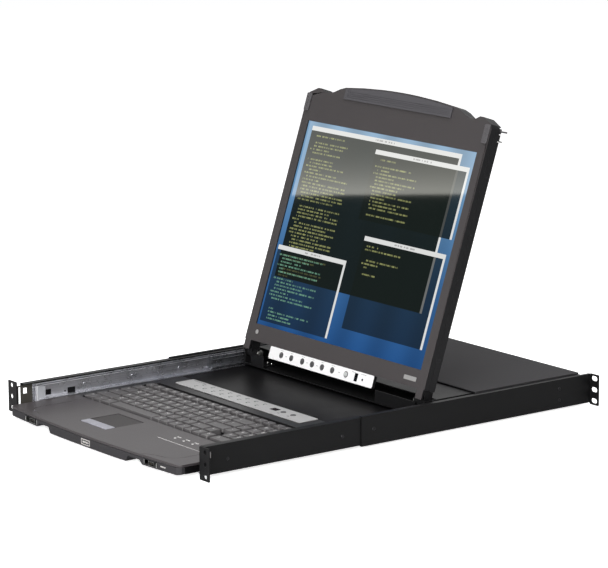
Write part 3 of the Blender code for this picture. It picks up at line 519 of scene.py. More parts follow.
PORT_WIDTH, CONSOLE_WIDTH, PORT_HEIGHT, PORT_PITCH = 17.0, 26.0, 9.0, 33.0
PORT_FACE_Y, RIM_FACE_Y, SHELL_FACE_Y = 649.0, 649.35, 651.2
PORT_ROWS = (15.0, 32.0)
bank_low, bank_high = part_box("computer_port_bank")
bank_middle = (bank_low.x + bank_high.x) / 2 / MM
computer_ports = [(bank_middle + (column - 3.5) * PORT_PITCH, z) for column in range(8)
                  for z in PORT_ROWS]
console_ports = [(112.0, z) for z in PORT_ROWS]


def d_ring(bm, x, z, y, width, height):
    """One ring of the connector's D outline."""
    half, slope = width / 2, height * 0.18
    corners = ((-half + slope, -height / 2), (half - slope, -height / 2), (half, height / 2),
               (-half, height / 2))
    return [bm.verts.new(at(x + dx, y, z + dz)) for dx, dz in corners]


def d_shell(bm, x, z, width, height):
    """A pressed D shell: a rim round the opening that turns into it."""
    steps = ((4.4, 3.6, PORT_FACE_Y), (4.4, 3.6, RIM_FACE_Y), (-0.3, -0.3, RIM_FACE_Y),
             (-0.3, -0.3, SHELL_FACE_Y), (-1.0, -1.0, SHELL_FACE_Y), (-1.0, -1.0, PORT_FACE_Y))
    rings = [d_ring(bm, x, z, y, width + wider, height + higher) for wider, higher, y in steps]
    loops = [[bm.edges.new((a, b)) for a, b in zip(ring, ring[1:] + ring[:1])] for ring in rings]
    for first, second in zip(loops, loops[1:] + loops[:1]):
        bmesh.ops.bridge_loops(bm, edges=first + second)


bm = bmesh.new()
for x, z in computer_ports:
    d_shell(bm, x, z, PORT_WIDTH, PORT_HEIGHT)
for x, z in console_ports:
    d_shell(bm, x, z, CONSOLE_WIDTH, PORT_HEIGHT)
bmesh.ops.recalc_face_normals(bm, faces=bm.faces)
finish_piece("port_shells", bm, BRIGHT_SCREW, "rack_frame")

bm = bmesh.new()
for x, z in computer_ports:
    soft_block(bm, (x - 5.9, 646.4, z - 2.7), (x + 5.9, 648.6, z + 2.7), 0.4, 1)
finish_piece("port_inserts", bm, PORT_BLUE, "rack_frame")


def upright_rod(bm, place, axis, radius, length, sides):
    """A round or many-sided bar from a place along an axis."""
    made = bmesh.ops.create_cone(bm, cap_ends=True, segments=sides, radius1=radius * MM,
                                 radius2=radius * MM, depth=length * MM)["verts"]
    lift = Matrix.Translation((0, 0, length / 2 * MM))
    bmesh.ops.transform(bm, matrix=towards(place, axis) @ lift, verts=made)
    return made


GOLD = coated("gold_contact", (0.86, 0.6, 0.22), 0.25, specular=0.5, metallic=1.0, grain=3000.0,
              depth=0.05, wear=0.0)
bm = bmesh.new()
for x, z in computer_ports:
    for row in (-1, 0, 1):
        for pin in range(5):
            place = at(x + (pin - 2) * 2.1 + row * 0.4, 648.5, z + row * 1.6)
            upright_rod(bm, place, (0, 1, 0), 0.34, 1.4, 6)
finish_piece("port_pins", bm, GOLD, "rack_frame")

bm = bmesh.new()
for ports, reach in ((computer_ports, 12.6), (console_ports, 16.6)):
    for x, z in ports:
        for side in (-1, 1):
            nut = upright_rod(bm, at(x + side * reach, PORT_FACE_Y, z), (0, 1, 0), 2.6, 3.4, 6)
            bevelled(bm, edges_of(nut), 0.35, 1)
finish_piece("port_jack_nuts", bm, BRIGHT_SCREW, "rack_frame")


# ---------------------------------------------------------------- LCD base and hinge
# A folded steel pan carries the panel on two friction hinges: a bored lug stands on the pan at
# each side, the arm's steel pin turns in it between spring washers, and a bright screw locks it.

HINGE = Vector(next(joint["pos_m"] for joint in frame["joints"] if joint["name"] == "lcd_tilt"))
LEAN_BACK = math.radians(18.5)
PANEL = Matrix.Translation(HINGE) @ Matrix.Rotation(-LEAN_BACK, 4, "X")
PANEL_OUT = PANEL.to_3x3() @ Vector((0, -1, 0))
rounded("lcd_base", RAIL_COAT, 0.3, 1)
for label, side in SIDES:
    rounded(f"hinge_leaf_{label}", RAIL_COAT, 0.4, 2)
    rounded(f"hinge_arm_{label}", RAIL_COAT, 0.4, 2)
    screws(f"hinge_screws_{label}", [at(side * x, 393.0, 24.2) for x in (163.0, 173.0)],
           (0, 0, 1), 2.2, 1.0, BRIGHT_SCREW, "lcd_drawer")
    bm = bmesh.new()
    for start, radius, length, sides in ((178.4, 5.0, 0.55, 28), (177.6, 4.6, 0.55, 28),
                                         (175.6, 3.9, 1.95, 6)):
        place = HINGE + Vector((side * start * MM, 0, 0))
        upright_rod(bm, place, (side, 0, 0), radius, length, sides)
        bevelled(bm, corner_edges(bm, 40) if sides == 6 else [], 0.2, 1)
    finish_piece(f"hinge_nut_{label}", bm, BRIGHT_SCREW, "lcd_panel")


# ---------------------------------------------------------------- LCD panel shells
# Front bezel moulded in warm dark grey with a fine spark-eroded texture, and a black painted back
# cover held by screws from behind. Both rise in the middle to the carrying arch.

BEZEL_GREY = coated("bezel_moulding", (0.068, 0.062, 0.063), 0.5, specular=0.25, grain=1500.0,
                    depth=0.35, clouding=0.05, wear=0.15)
BACK_BLACK = coated("back_cover_paint", (0.012, 0.012, 0.013), 0.45, specular=0.3, grain=1200.0,
                    depth=0.3, clouding=0.08)


def panel_at(x, y, z):
    """A place on the leaned panel, in metres, from its sizes with the panel upright."""
    return PANEL @ (Vector((x, y, z)) * MM)


def panel_piece(name, bm, material, body="lcd_panel"):
    """A piece drawn on the upright panel and leaned back with it."""
    bmesh.ops.transform(bm, matrix=PANEL, verts=bm.verts)
    return finish_piece(name, bm, material, body)


def dark_sides(bm):
    """Gives the second material to every face that doesn't look out of the panel's front."""
    for face in bm.faces:
        face.material_index = 0 if face.normal.dot(PANEL_OUT) > 0.7 else 1


rounded("lcd_front_bezel", [BEZEL_GREY, BACK_BLACK], 0.5, 1, dark_sides)
rounded("lcd_back_cover", BACK_BLACK, 0.3, 1)

BACK_FACE, PANEL_SIDE = 5.5, 204.9
back_places = [panel_at(x, BACK_FACE, z) for x in (-196, 196) for z in (26, 200, 360)]
back_places += [panel_at(x, BACK_FACE, z) for x in (-100, 0, 100) for z in (26, 384)]
screws("back_cover_screws", back_places, -PANEL_OUT, 2.6, 0.6, BLACK_SCREW, "lcd_panel")
for label, side in SIDES:
    places = [panel_at(side * PANEL_SIDE, 0.5, z) for z in (60.0, 232.0, 312.0)]
    screws(f"panel_side_screws_{label}", places, (side, 0, 0), 2.0, 0.4, BLACK_SCREW, "lcd_panel")


# ---------------------------------------------------------------- display
# A 17 inch display behind a clear glossy pane. It shows a plain blue desktop with four generic
# terminal windows, each see-through black with a white title bar and scroll bar.

LINE_HEIGHT, LETTER_WIDTH, TEXT_MARGIN, TEXT_TOP = 4.9, 1.7, 7.0, 11.0
TITLE_HEIGHT, BAR_WIDTH, WORD_LENGTH = 6.5, 4.5, 7.0
EMPTY_ROWS = 0.18


def make_window_group():
    """One window laid over what is under it, with rows of short text. Places are panel sizes."""
    tree, given, result = node_group(
        "terminal_window",
        [("Under", "Color", grey(0.1)), ("Place", "Vector", (0, 0, 0)), ("Left", "Float", 0.0),
         ("Right", "Float", 100.0), ("Top", "Float", 100.0), ("Bottom", "Float", 0.0),
         ("Opacity", "Float", 0.8), ("Seed", "Float", 1.0), ("Columns", "Float", 60.0),
         ("Rows", "Float", 40.0), ("Text Colour", "Color", grey(0.4))],
        [("Colour", "Color")])

    def both(first, second):
        return calculate(tree, "MULTIPLY", first, second)

    def above(value, limit):
        return calculate(tree, "GREATER_THAN", value, limit)

    def below(value, limit):
        return calculate(tree, "LESS_THAN", value, limit)

    def less(first, second):
        return calculate(tree, "SUBTRACT", first, second)

    def whole(first, second):
        return calculate(tree, "FLOOR", calculate(tree, "DIVIDE", first, second))

    def part(first, second):
        return calculate(tree, "FRACT", calculate(tree, "DIVIDE", first, second))

    axes = add(tree, "ShaderNodeSeparateXYZ", {0: given["Place"]}).outputs
    x, z = axes["X"], axes["Z"]
    inside = both(both(above(x, given["Left"]), below(x, given["Right"])),
                  both(above(z, given["Bottom"]), below(z, given["Top"])))
    colour = mix(tree, both(inside, given["Opacity"]), given["Under"], (0.006, 0.011, 0.009, 1))

    from_left = less(less(x, given["Left"]), TEXT_MARGIN)
    from_top = less(less(given["Top"], z), TEXT_TOP)
    row, column = whole(from_top, LINE_HEIGHT), whole(from_left, LETTER_WIDTH)

    def chance(first, second, salt):
        """A number from 0 to 1 that depends on two whole numbers."""
        spot = add(tree, "ShaderNodeCombineXYZ",
                   {0: first, 1: second, 2: calculate(tree, "ADD", given["Seed"], salt)})
        noise = add(tree, "ShaderNodeTexWhiteNoise", {"Vector": spot.outputs[0]},
                    noise_dimensions="3D")
        return noise.outputs["Value"]

    row_chance = chance(row, 0.0, 0.0)
    indent = both(above(chance(row, 1.0, 3.0), 0.35), 4.0)
    length = both(spread(tree, row_chance, EMPTY_ROWS, 0.7, 0.15, 1.0), given["Columns"])
    word = whole(column, WORD_LENGTH)
    gap_at = calculate(tree, "FLOOR", both(chance(row, word, 5.0), WORD_LENGTH))
    within_word = less(column, both(word, WORD_LENGTH))
    written = both(both(above(row, -0.5), below(row, given["Rows"])), above(row_chance, EMPTY_ROWS))
    written = both(written, both(above(column, less(indent, 0.5)), below(column, length)))
    written = both(written, less(1.0, calculate(tree, "COMPARE", within_word, gap_at, 0.4)))
    written = both(written, above(chance(row, column, 9.0), 0.12))
    up, across = part(from_top, LINE_HEIGHT), part(from_left, LETTER_WIDTH)
    stroke = both(both(above(up, 0.22), below(up, 0.68)), below(across, 0.8))
    bright = spread(tree, chance(row, column, 11.0), 0.0, 1.0, 0.35, 1.0)
    letters = both(both(both(written, stroke), bright), inside)
    colour = mix(tree, letters, colour, given["Text Colour"])

    title = both(inside, above(z, less(given["Top"], TITLE_HEIGHT)))
    bar = both(inside, above(x, less(given["Right"], BAR_WIDTH)))
    colour = mix(tree, calculate(tree, "MAXIMUM", title, bar), colour, (0.83, 0.84, 0.83, 1))
    middle = both(calculate(tree, "ADD", given["Left"], given["Right"]), 0.5)
    off_middle = calculate(tree, "ABSOLUTE", less(x, middle))
    named = both(below(off_middle, 22.0), above(chance(column, 2.0, 13.0), 0.3))
    at_height = calculate(tree, "COMPARE", less(given["Top"], z), 3.2, 1.1)
    named = both(both(named, title), both(above(across, 0.25), at_height))
    colour = mix(tree, both(named, 0.7), colour, (0.16, 0.15, 0.16, 1))
    give(tree, result, Colour=colour)
    return tree


WINDOW = make_window_group()
SCREEN_BOTTOM = 41.4


def display_material():
    """The lit picture under a glossy pane."""
    made, tree, shader = new_material(
        "display_picture", Roughness=0.035, Specular_IOR_Level=0.5,
        Base_Color=(0.002, 0.002, 0.002, 1), Emission_Strength=0.85)
    place = add(tree, "ShaderNodeTexCoord").outputs["Object"]
    upright = add(tree, "ShaderNodeMapping",
                  {"Vector": place, "Location": HINGE, "Rotation": (-LEAN_BACK, 0, 0),
                   "Scale": (MM, MM, MM)}, vector_type="TEXTURE").outputs[0]
    up = add(tree, "ShaderNodeSeparateXYZ", {0: upright}).outputs["Z"]
    sky = spread(tree, up, SCREEN_BOTTOM, SCREEN_BOTTOM + 300.0, 0.0, 1.0)
    ramp = add(tree, "ShaderNodeValToRGB", {0: sky})
    stops = ((0.0, (0.016, 0.085, 0.26)), (0.35, (0.04, 0.14, 0.34)), (0.75, (0.13, 0.29, 0.50)),
             (1.0, (0.22, 0.38, 0.56)))
    while len(ramp.color_ramp.elements) < len(stops):
        ramp.color_ramp.elements.new(0.5)
    for element, (position, colour) in zip(ramp.color_ramp.elements, stops):
        element.position = position
        element.color = (*colour, 1.0)
    swirl = add(tree, "ShaderNodeTexWave",
                {"Vector": upright, "Scale": 0.004, "Distortion": 6.0, "Detail": 1.0,
                 "Detail Scale": 0.3}, wave_profile="SIN").outputs["Fac"]
    picture = shaded(tree, ramp.outputs["Color"], spread(tree, swirl, 0.0, 1.0, 0.85, 1.15))
    yellow, green = (0.40, 0.42, 0.16, 1), (0.20, 0.44, 0.30, 1)
    windows = (
        (-177.0, 158.0, 295.0, 73.0, 0.985, 3.0, 60.0, 44.0, yellow),
        (-24.0, 180.0, 279.0, 179.0, 0.92, 8.0, 56.0, 18.0, yellow),
        (0.0, 177.5, 158.0, 25.7, 0.8, 14.0, 46.0, 9.0, yellow),
        (-185.0, -26.0, 118.0, 6.0, 0.74, 21.0, 60.0, 20.0, green),
    )
    for left, right, top, bottom, opacity, seed, columns, rows, text in windows:
        values = {"Under": picture, "Place": upright, "Left": left, "Right": right,
                  "Top": top + SCREEN_BOTTOM, "Bottom": bottom + SCREEN_BOTTOM,
                  "Opacity": opacity, "Seed": seed, "Columns": columns, "Rows": rows,
                  "Text Colour": text}
        window = add(tree, "ShaderNodeGroup", values, node_tree=WINDOW)
        picture = window.outputs["Colour"]
    give(tree, shader, Emission_Color=picture)
    return made


rounded("lcd_display", display_material(), 0.3, 1)


# ---------------------------------------------------------------- carrying grip
# Soft rubber pad for the fingers, stuck on the front of the carrying arch. It follows the arch's
# curve, and four grooves along it leave ribs between them.

GRIP_RUBBER = coated("grip_rubber", (0.088, 0.085, 0.092), 0.62, specular=0.3, grain=700.0,
                     depth=0.5, clouding=0.06, wear=0.1)
rounded("lcd_grip", GRIP_RUBBER, 0.35, 2)


# ---------------------------------------------------------------- corner catches
# A grey thumb slider at each upper corner draws in the bolt that holds the closed panel in the
# rails. Grip ribs cross the slider, and a bright wire bail behind it is the bolt's spring.

BAIL_ROUTE = ((200, 1.5, 362.0), (205, 1.0, 362.0), (208.6, 1.0, 362.4), (209.6, 4.5, 363.0),
              (208.6, 8.0, 363.6), (205, 8.0, 364.0), (200, 7.5, 364.0))


def drawn_mesh(curve):
    """The mesh of a curve or a text."""
    drawn = add_object("drawn", curve)
    bpy.context.view_layer.update()
    mesh = bpy.data.meshes.new_from_object(
        drawn.evaluated_get(bpy.context.evaluated_depsgraph_get()))
    bpy.data.objects.remove(drawn)
    return mesh


CATCH_GREY = coated("catch_moulding", (0.11, 0.105, 0.11), 0.45, specular=0.4, grain=1500.0,
                    depth=0.25)
for label, side in SIDES:
    body = f"lcd_catch_{label}"
    rounded(body, CATCH_GREY, 0.4, 2)
    bm = bmesh.new()
    for z in (360.0, 364.0, 368.0, 372.0, 376.0):
        made = side_block(bm, side, (195.0, 201.6), (-16.3, -15.5), (z, z + 1.4), Matrix())
        bevelled(bm, edges_of(made), 0.25, 1)
    panel_piece(f"catch_ribs_{label}", bm, CATCH_GREY, body)
    wire = bpy.data.curves.new("bail", "CURVE")
    wire.dimensions = "3D"
    wire.bevel_depth = 0.7 * MM
    wire.bevel_resolution = 3
    wire.use_fill_caps = True
    spline = wire.splines.new("NURBS")
    spline.points.add(len(BAIL_ROUTE) - 1)
    spline.order_u = 3
    spline.use_endpoint_u = True
    for point, (x, y, z) in zip(spline.points, BAIL_ROUTE):
        point.co = (*panel_at(side * x, y, z), 1.0)
    bm = bmesh.new()
    bm.from_mesh(drawn_mesh(wire))
    bmesh.ops.remove_doubles(bm, verts=bm.verts, dist=0.001 * MM)
    bmesh.ops.recalc_face_normals(bm, faces=bm.faces)
    finish_piece(f"catch_bail_{label}", bm, BRIGHT_SCREW, "lcd_panel")


# ---------------------------------------------------------------- control strip
# White printed strip under the panel with six dark menu buttons, a pale power button, a dark
# receiver window and a lamp. Short printed marks stand by each button.

LABEL_WHITE = coated("white_label_sheet", (0.93, 0.92, 0.92), 0.4, specular=0.3, grain=900.0,
                     depth=0.05, clouding=0.02, worn=(0.9, 0.9, 0.9))
BUTTON_DARK = coated("button_moulding", (0.085, 0.083, 0.085), 0.38, specular=0.5, grain=1800.0,
                     depth=0.15)
POWER_PALE = coated("power_button_moulding", (0.55, 0.56, 0.55), 0.3, specular=0.5, grain=1500.0,
                    depth=0.08)
PRINT_GREY = coated("grey_print", (0.16, 0.16, 0.17), 0.5, grain=1500.0, depth=0.1)
LENS_BLACK = coated("dark_lens", (0.004, 0.004, 0.005), 0.08, specular=0.6, grain=400.0,
                    depth=0.02, clouding=0.02)
rounded("osd_panel", [LABEL_WHITE, PORT_BLACK], 0.2, 1, dark_sides)
for number in range(1, 7):
    rounded(f"osd_button_{number}", BUTTON_DARK, 0.7, 3)
rounded("lcd_power_button", POWER_PALE, 0.7, 3)

OSD_FACE, OSD_MIDDLE = -13.5, 7.2
OSD_BUTTONS = (-112.8, -89.1, -63.1, -40.4, -17.2, 6.2)
bm = bmesh.new()
for x in OSD_BUTTONS + (37.5,):
    ring = upright_rod(bm, Vector((x, OSD_FACE, OSD_MIDDLE)) * MM, (0, -1, 0), 4.5, 0.25, 28)
    caps = sorted({face for vert in ring for face in vert.link_faces if len(face.verts) > 4},
                  key=lambda face: face.calc_center_median().y)
    bmesh.ops.inset_individual(bm, faces=caps, thickness=0.9 * MM)
    bmesh.ops.bridge_loops(bm, edges=list(caps[0].edges) + list(caps[1].edges))
    bmesh.ops.delete(bm, geom=caps, context="FACES_ONLY")
panel_piece("osd_button_rings", bm, BUTTON_DARK)

strokes = []
for number, x in enumerate(OSD_BUTTONS):
    for step in range(3):
        left = x - 3.0 + step * 2.4
        strokes.append((left, left + 0.7 * (1.2, 2.6, 1.8)[(number + step) % 3], 13.4))
strokes += [(x - 1.6, x + 1.6, 6.9) for x in (-101.0, -51.5, -28.5, 22.0)]
strokes += [(x, x + 2.6, 13.2) for x in (50.0, 54.0, 70.0, 74.0, 78.0)]
bm = bmesh.new()
for left, right, z in strokes:
    block(bm, (left, OSD_FACE - 0.12, z), (right, OSD_FACE + 0.05, z + 0.6), Matrix())
panel_piece("osd_print", bm, PRINT_GREY)

bm = bmesh.new()
soft_block(bm, (57.0, OSD_FACE - 0.5, 1.6), (63.6, OSD_FACE + 0.2, 13.0), 0.3, 2, Matrix())
upright_rod(bm, Vector((74.8, OSD_FACE + 0.1, OSD_MIDDLE - 1)) * MM, (0, -1, 0), 1.6, 0.6, 20)
panel_piece("osd_lenses", bm, LENS_BLACK)


# ---------------------------------------------------------------- bezel badges
# Two small blank badges of satin metal foil, glued on the bezel's lower corners: a long one with
# rounded ends at the right and a round one at the left.

BADGE = coated("satin_badge", (0.62, 0.61, 0.6), 0.3, specular=0.5, metallic=0.5, grain=1500.0,
               depth=0.1)
bm = bmesh.new()
BEZEL_FACE = -13.4
made = block(bm, (158.0, BEZEL_FACE - 0.45, 24.0), (184.0, BEZEL_FACE, 30.0), Matrix())
bevelled(bm, [edge for edge in edges_of(made) if abs((edge.verts[0].co - edge.verts[1].co).y) > 0],
         1.2, 3)
upright_rod(bm, Vector((-181, BEZEL_FACE, 30)) * MM, (0, -1, 0), 3.2, 0.4, 28)
panel_piece("bezel_badges", bm, BADGE)


# ---------------------------------------------------------------- keyboard drawer
# Black steel tray, a palm rest and key surround moulded in grey-brown with a fine texture, and a
# dark front rail shaped into a pull lip. The deck behind the keys is bare black steel.

PALM_GREY = coated("palm_rest_moulding", (0.060, 0.053, 0.055), 0.36, specular=0.5, grain=1500.0,
                   depth=0.25, clouding=0.05, wear=0.15)
FRONT_GREY = coated("front_rail_moulding", (0.038, 0.036, 0.039), 0.5, specular=0.3,
                    grain=1500.0, depth=0.35, clouding=0.05, wear=0.15)
DECK_BLACK = coated("deck_gloss_coat", (0.006, 0.0057, 0.0062), 0.36, specular=0.08, grain=900.0,
                    depth=0.25, clouding=0.05)
rounded("keyboard_tray", DECK_BLACK, 0.3, 1)

KEY_WELL_Y = 84.6
two_tone_and_painted_shade(PALM_GREY, (0.020, 0.019, 0.020), KEY_WELL_Y)
rounded("keyboard_top", PALM_GREY, 0.25, 2)


def badge_flat(bm):
    """Flattens the middle of the bowed front, so that the badge stays behind its foremost line."""
    nearest = at(0, BADGE_FLAT_Y, 0).y
    for vert in bm.verts:
        vert.co.y = max(vert.co.y, nearest)


BADGE_FLAT_Y = -28.5
rounded("keyboard_front", FRONT_GREY, 0.6, 2, badge_flat)


# ---------------------------------------------------------------- front sockets
# Each end of the front rail has a wide opening with a USB socket in it: a folded steel shell round
# a black tongue with four gold contacts, held between two bright folded tabs.

SOCKET_BOTTOM, SOCKET_TOP = 6.2, 12.6
shells, tongues, contacts = bmesh.new(), bmesh.new(), bmesh.new()
for left in (-145.5, 142.0):
    outer = block(shells, (left, -25.4, SOCKET_BOTTOM + 0.2),
                  (left + 13.0, -14.0, SOCKET_TOP - 0.4))
    front = end_face(outer, 1, -1)
    bmesh.ops.inset_individual(shells, faces=[front], thickness=0.45 * MM)
    bmesh.ops.inset_individual(shells, faces=[front], thickness=0.02 * MM, depth=-9.5 * MM)
    for x, lift in ((left - 10.4, 0.3), (left + 17.2, 0.0)):
        soft_block(shells, (x, -25.6, SOCKET_BOTTOM + lift), (x + 1.4, -16.0, SOCKET_TOP), 0.3, 1)
    soft_block(tongues, (left + 1.2, -24.2, 8.8), (left + 11.8, -15.6, 10.6), 0.2, 1)
    for contact in range(4):
        x = left + 2.2 + contact * 2.4
        block(contacts, (x, -23.8, 8.65), (x + 1.0, -17.0, 8.85))
finish_piece("usb_shells", shells, BRIGHT_SCREW, "keyboard_drawer")
finish_piece("usb_tongues", tongues, PORT_BLACK, "keyboard_drawer")
finish_piece("usb_contacts", contacts, GOLD, "keyboard_drawer")


# ---------------------------------------------------------------- pull badge and socket mark
# A blank dark badge with a pale printed outline marks the middle of the pull lip, and a short pad
# printed mark stands beside the right socket.

PRINT_PALE = coated("pale_print", (0.62, 0.6, 0.58), 0.5, grain=1500.0, depth=0.1)


def lip_y(x):
    """The drawer's bowed front edge."""
    return max(BADGE_FLAT_Y, -29.0 + 9.0 * (x / 200.0) ** 2)


bm = bmesh.new()
block(bm, (-11.0, lip_y(0) - 0.25, 4.2), (9.0, lip_y(0) + 1.0, 11.6))
finish_piece("pull_badge", bm, PORT_BLACK, "keyboard_drawer")
bm = bmesh.new()
face_y = lip_y(0) - 0.4
outline = ((-11.2, 9.2, 4.0, 5.0), (-11.2, 9.2, 10.8, 11.8), (-11.2, -10.2, 5.0, 10.8),
           (8.2, 9.2, 5.0, 10.8))
strokes = [(left, right, 6.8, 9.2) for left, right in ((-7.6, -4.4), (-3.2, -0.4), (0.8, 3.4),
                                                       (4.4, 6.2))]
for left, right, bottom, top in (*outline, *strokes):
    block(bm, (left, face_y, bottom), (right, face_y + 0.5, top))
finish_piece("pull_badge_print", bm, PRINT_PALE, "keyboard_drawer")
bm = bmesh.new()
for mark in range(3):
    x = 166.0 + mark * 3.6
    block(bm, (x, lip_y(x) - 0.15, 8.6), (x + 2.8, lip_y(x) + 1.0, 10.2))
finish_piece("socket_mark", bm, PRINT_PALE, "keyboard_drawer")


# ---------------------------------------------------------------- keys
# Low scissor keys, 18.6 mm apart, moulded with drawn-in sides and a shallow dish. Each stands on
# its switch plate; the legends are pad printed in a pale grey.

KEY_UNIT, ROW_PITCH, KEY_GAP, KEY_TOP = 18.6, 19.5, 1.6, 19.3
KEYS_LEFT, KEYS_FRONT, NUMPAD_LEFT = -190.0, 89.0, 111.0
FUNCTION_ROW, FUNCTION_GAP, FUNCTION_DEPTH = 5, 4.0, 16.0
ARROWS = ("<", "v", ">")
KEY_ROWS = (
    (((1.25, 1, 1.25), ("=", "-", "=")), "space_bar", ((1,) * 7, ("=", "-", "=", "-") + ARROWS),
     ((2, 1), ("0", "."))),
    ((), "left_shift_key", ((1,) * 10 + (1.75, 1), tuple("ZXCVBNM,./") + ("=", "^")),
     ((1,) * 3, ("1", "2", "3"))),
    (((1.75,) + (1,) * 11, ("=",) + tuple("ASDFGHJKL;'")), "enter_key", ((1,), ("-",)),
     ((1,) * 3, ("4", "5", "6"))),
    (((1.5,) + (1,) * 12 + (1.5, 1), ("=",) + tuple("QWERTYUIOP[]") + ("\\", "-")), None, (),
     ((1,) * 3, ("7", "8", "9"))),
    (((1,) * 13, tuple("`1234567890-=")), "backspace_key", ((1,), ("-",)),
     ((1,) * 4, ("#", "/", "*", "-"))),
    (((1,) * 16, ("-",) + tuple(f"F{n}" for n in range(1, 13)) + ("-", "-", "-")), None, (),
     ((1,) * 4, ("-", "-", "-", "-"))),
)
NAMED_WIDTHS = {"space_bar": 5.5, "left_shift_key": 2.25, "enter_key": 2.25, "backspace_key": 2}
NAMED_LEGENDS = {"space_bar": None, "left_shift_key": "=", "enter_key": "=", "backspace_key": "="}


def key_places():
    """Every key's body, x, y, width, depth and legend."""
    keys = []
    for number, (first, named, second, numpad) in enumerate(KEY_ROWS):
        y, depth = KEYS_FRONT + number * ROW_PITCH, ROW_PITCH
        if number == FUNCTION_ROW:
            y, depth = y + FUNCTION_GAP, FUNCTION_DEPTH
        x = KEYS_LEFT
        for run in (first, named, second, numpad):
            if run is numpad:
                x = NUMPAD_LEFT
            if isinstance(run, str):
                row = ((run, NAMED_WIDTHS[run], NAMED_LEGENDS[run]),)
            else:
                row = [(None, units, legend) for units, legend in zip(*(run or ((), ())))]
            for name, units, legend in row:
                keys.append((name, x, y, units * KEY_UNIT, depth, legend))
                x += units * KEY_UNIT
    for number, legend in ((0, "="), (2, "+")):
        keys.append((None, NUMPAD_LEFT + 3 * KEY_UNIT, KEYS_FRONT + number * ROW_PITCH, KEY_UNIT,
                     2 * ROW_PITCH, legend))
    return keys


def key_cap(bm, x, y, width, depth, bottom):
    """A cap with rounded corners, sides drawn in towards the top, and a dished top."""
    before = set(bm.verts)

    def top_face():
        return end_face([vert for vert in bm.verts if vert not in before])

    made = block(bm, (x + KEY_GAP / 2, y + KEY_GAP / 2, bottom),
                 (x + width - KEY_GAP / 2, y + depth - KEY_GAP / 2, KEY_TOP))
    top = top_face()
    middle = top.calc_center_median()
    for vert in top.verts:
        for axis in (0, 1):
            vert.co[axis] -= math.copysign(1.4 * MM, vert.co[axis] - middle[axis])
    uprights = [edge for edge in edges_of(made)
                if abs(edge.verts[0].co.z - edge.verts[1].co.z) > MM]
    bevelled(bm, uprights, 1.1, 3)
    bevelled(bm, list(top_face().edges), 0.5, 2)
    top = top_face()
    centre = top.calc_center_median()
    for share, dip in ((0.8, 0.18), (0.55, 0.12)):
        bmesh.ops.inset_individual(bm, faces=[top], thickness=0.05 * MM)
        for vert in top.verts:
            vert.co = centre + (vert.co - centre) * share
            vert.co.z -= dip * MM


LETTER_SIZE, WORD_SIZE = 7.4, 5.2
LETTERS = {}


def letter_mesh(text):
    """A legend as a thin closed plate lying flat, made once for each text."""
    if text not in LETTERS:
        curve = bpy.data.curves.new("legend", "FONT")
        curve.body = text
        curve.size = (LETTER_SIZE if len(text) == 1 else WORD_SIZE) * MM
        curve.align_x = "CENTER"
        curve.align_y = "CENTER"
        curve.resolution_u = 2
        curve.extrude = 0.05 * MM
        LETTERS[text] = drawn_mesh(curve)
    return LETTERS[text]


def legend_on(bm, text, x, y, z):
    """Adds a legend lying at that place."""
    before = set(bm.verts)
    bm.from_mesh(letter_mesh(text))
    made = [vert for vert in bm.verts if vert not in before]
    bmesh.ops.translate(bm, vec=at(x, y, z), verts=made)


KEY_GREY = coated("key_moulding", (0.098, 0.093, 0.094), 0.4, specular=0.5, grain=1600.0,
                  depth=0.25, clouding=0.05, wear=0.5)
LEGEND_PALE = coated("legend_print", (0.86, 0.85, 0.83), 0.45, grain=1500.0, depth=0.05,
                     clouding=0.02)
caps, marks = bmesh.new(), bmesh.new()
for name, x, y, width, depth, legend in key_places():
    bm = bmesh.new() if name else caps
    key_cap(bm, x, y, width, depth, 14.3 if name else 12.4)
    written = bmesh.new() if name and legend else marks
    if legend:
        legend_on(written, legend, x + 7.4, y + depth - 7.6, KEY_TOP - 0.24)
    if name:
        finish_piece(name + "_cap", bm, KEY_GREY, name, [name])
    if name and legend:
        finish_piece(name + "_legend", written, LEGEND_PALE, name)
finish_piece("key_caps", caps, KEY_GREY, "keyboard_drawer")
finish_piece("key_legends", marks, LEGEND_PALE, "keyboard_drawer")

PLATE_BLACK = coated("key_plate_coat", (0.016, 0.016, 0.017), 0.5, specular=0.3, grain=900.0,
                     depth=0.3)
bed_low, bed_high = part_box("key_bed")
bm = bmesh.new()
block(bm, (bed_low.x / MM, 88.0, 8.5), (bed_high.x / MM, 213.0, 12.0))
finish_piece("key_switch_plate", bm, PLATE_BLACK, "keyboard_drawer", ["key_bed"])


# ---------------------------------------------------------------- touchpad
# Satin film over a touch sensor, sunk in the palm rest, with a pale moulded bar of two buttons in
# front of it. Each button presses its own switch.

PAD_GREY = coated("touchpad_film", (0.042, 0.038, 0.038), 0.45, specular=0.3, grain=2200.0,
                  depth=0.15, clouding=0.04)
PAD_BUTTON = coated("pad_button_moulding", (0.33, 0.33, 0.37), 0.36, specular=0.45, grain=1600.0,
                    depth=0.1, clouding=0.05)
rounded("touchpad", PAD_GREY, 0.3, 2)
for label, side in SIDES:
    rounded(f"touchpad_button_{label}", PAD_BUTTON, 0.5, 2)


# ---------------------------------------------------------------- station strip
# Silver label sheet on a thin plate: two rows of eight port lamps with a printed mark by each, a
# dark two-digit window and two round buttons. Four status lamps sit on the palm rest.

STRIP_SILVER = coated("silver_label_sheet", (0.50, 0.495, 0.49), 0.42, specular=0.4, metallic=0.2,
                      grain=900.0, depth=0.12, clouding=0.03)
rounded("port_panel", STRIP_SILVER, 0.3, 2)
for label in ("up", "down"):
    rounded(f"station_button_{label}", BUTTON_DARK, 0.7, 3)


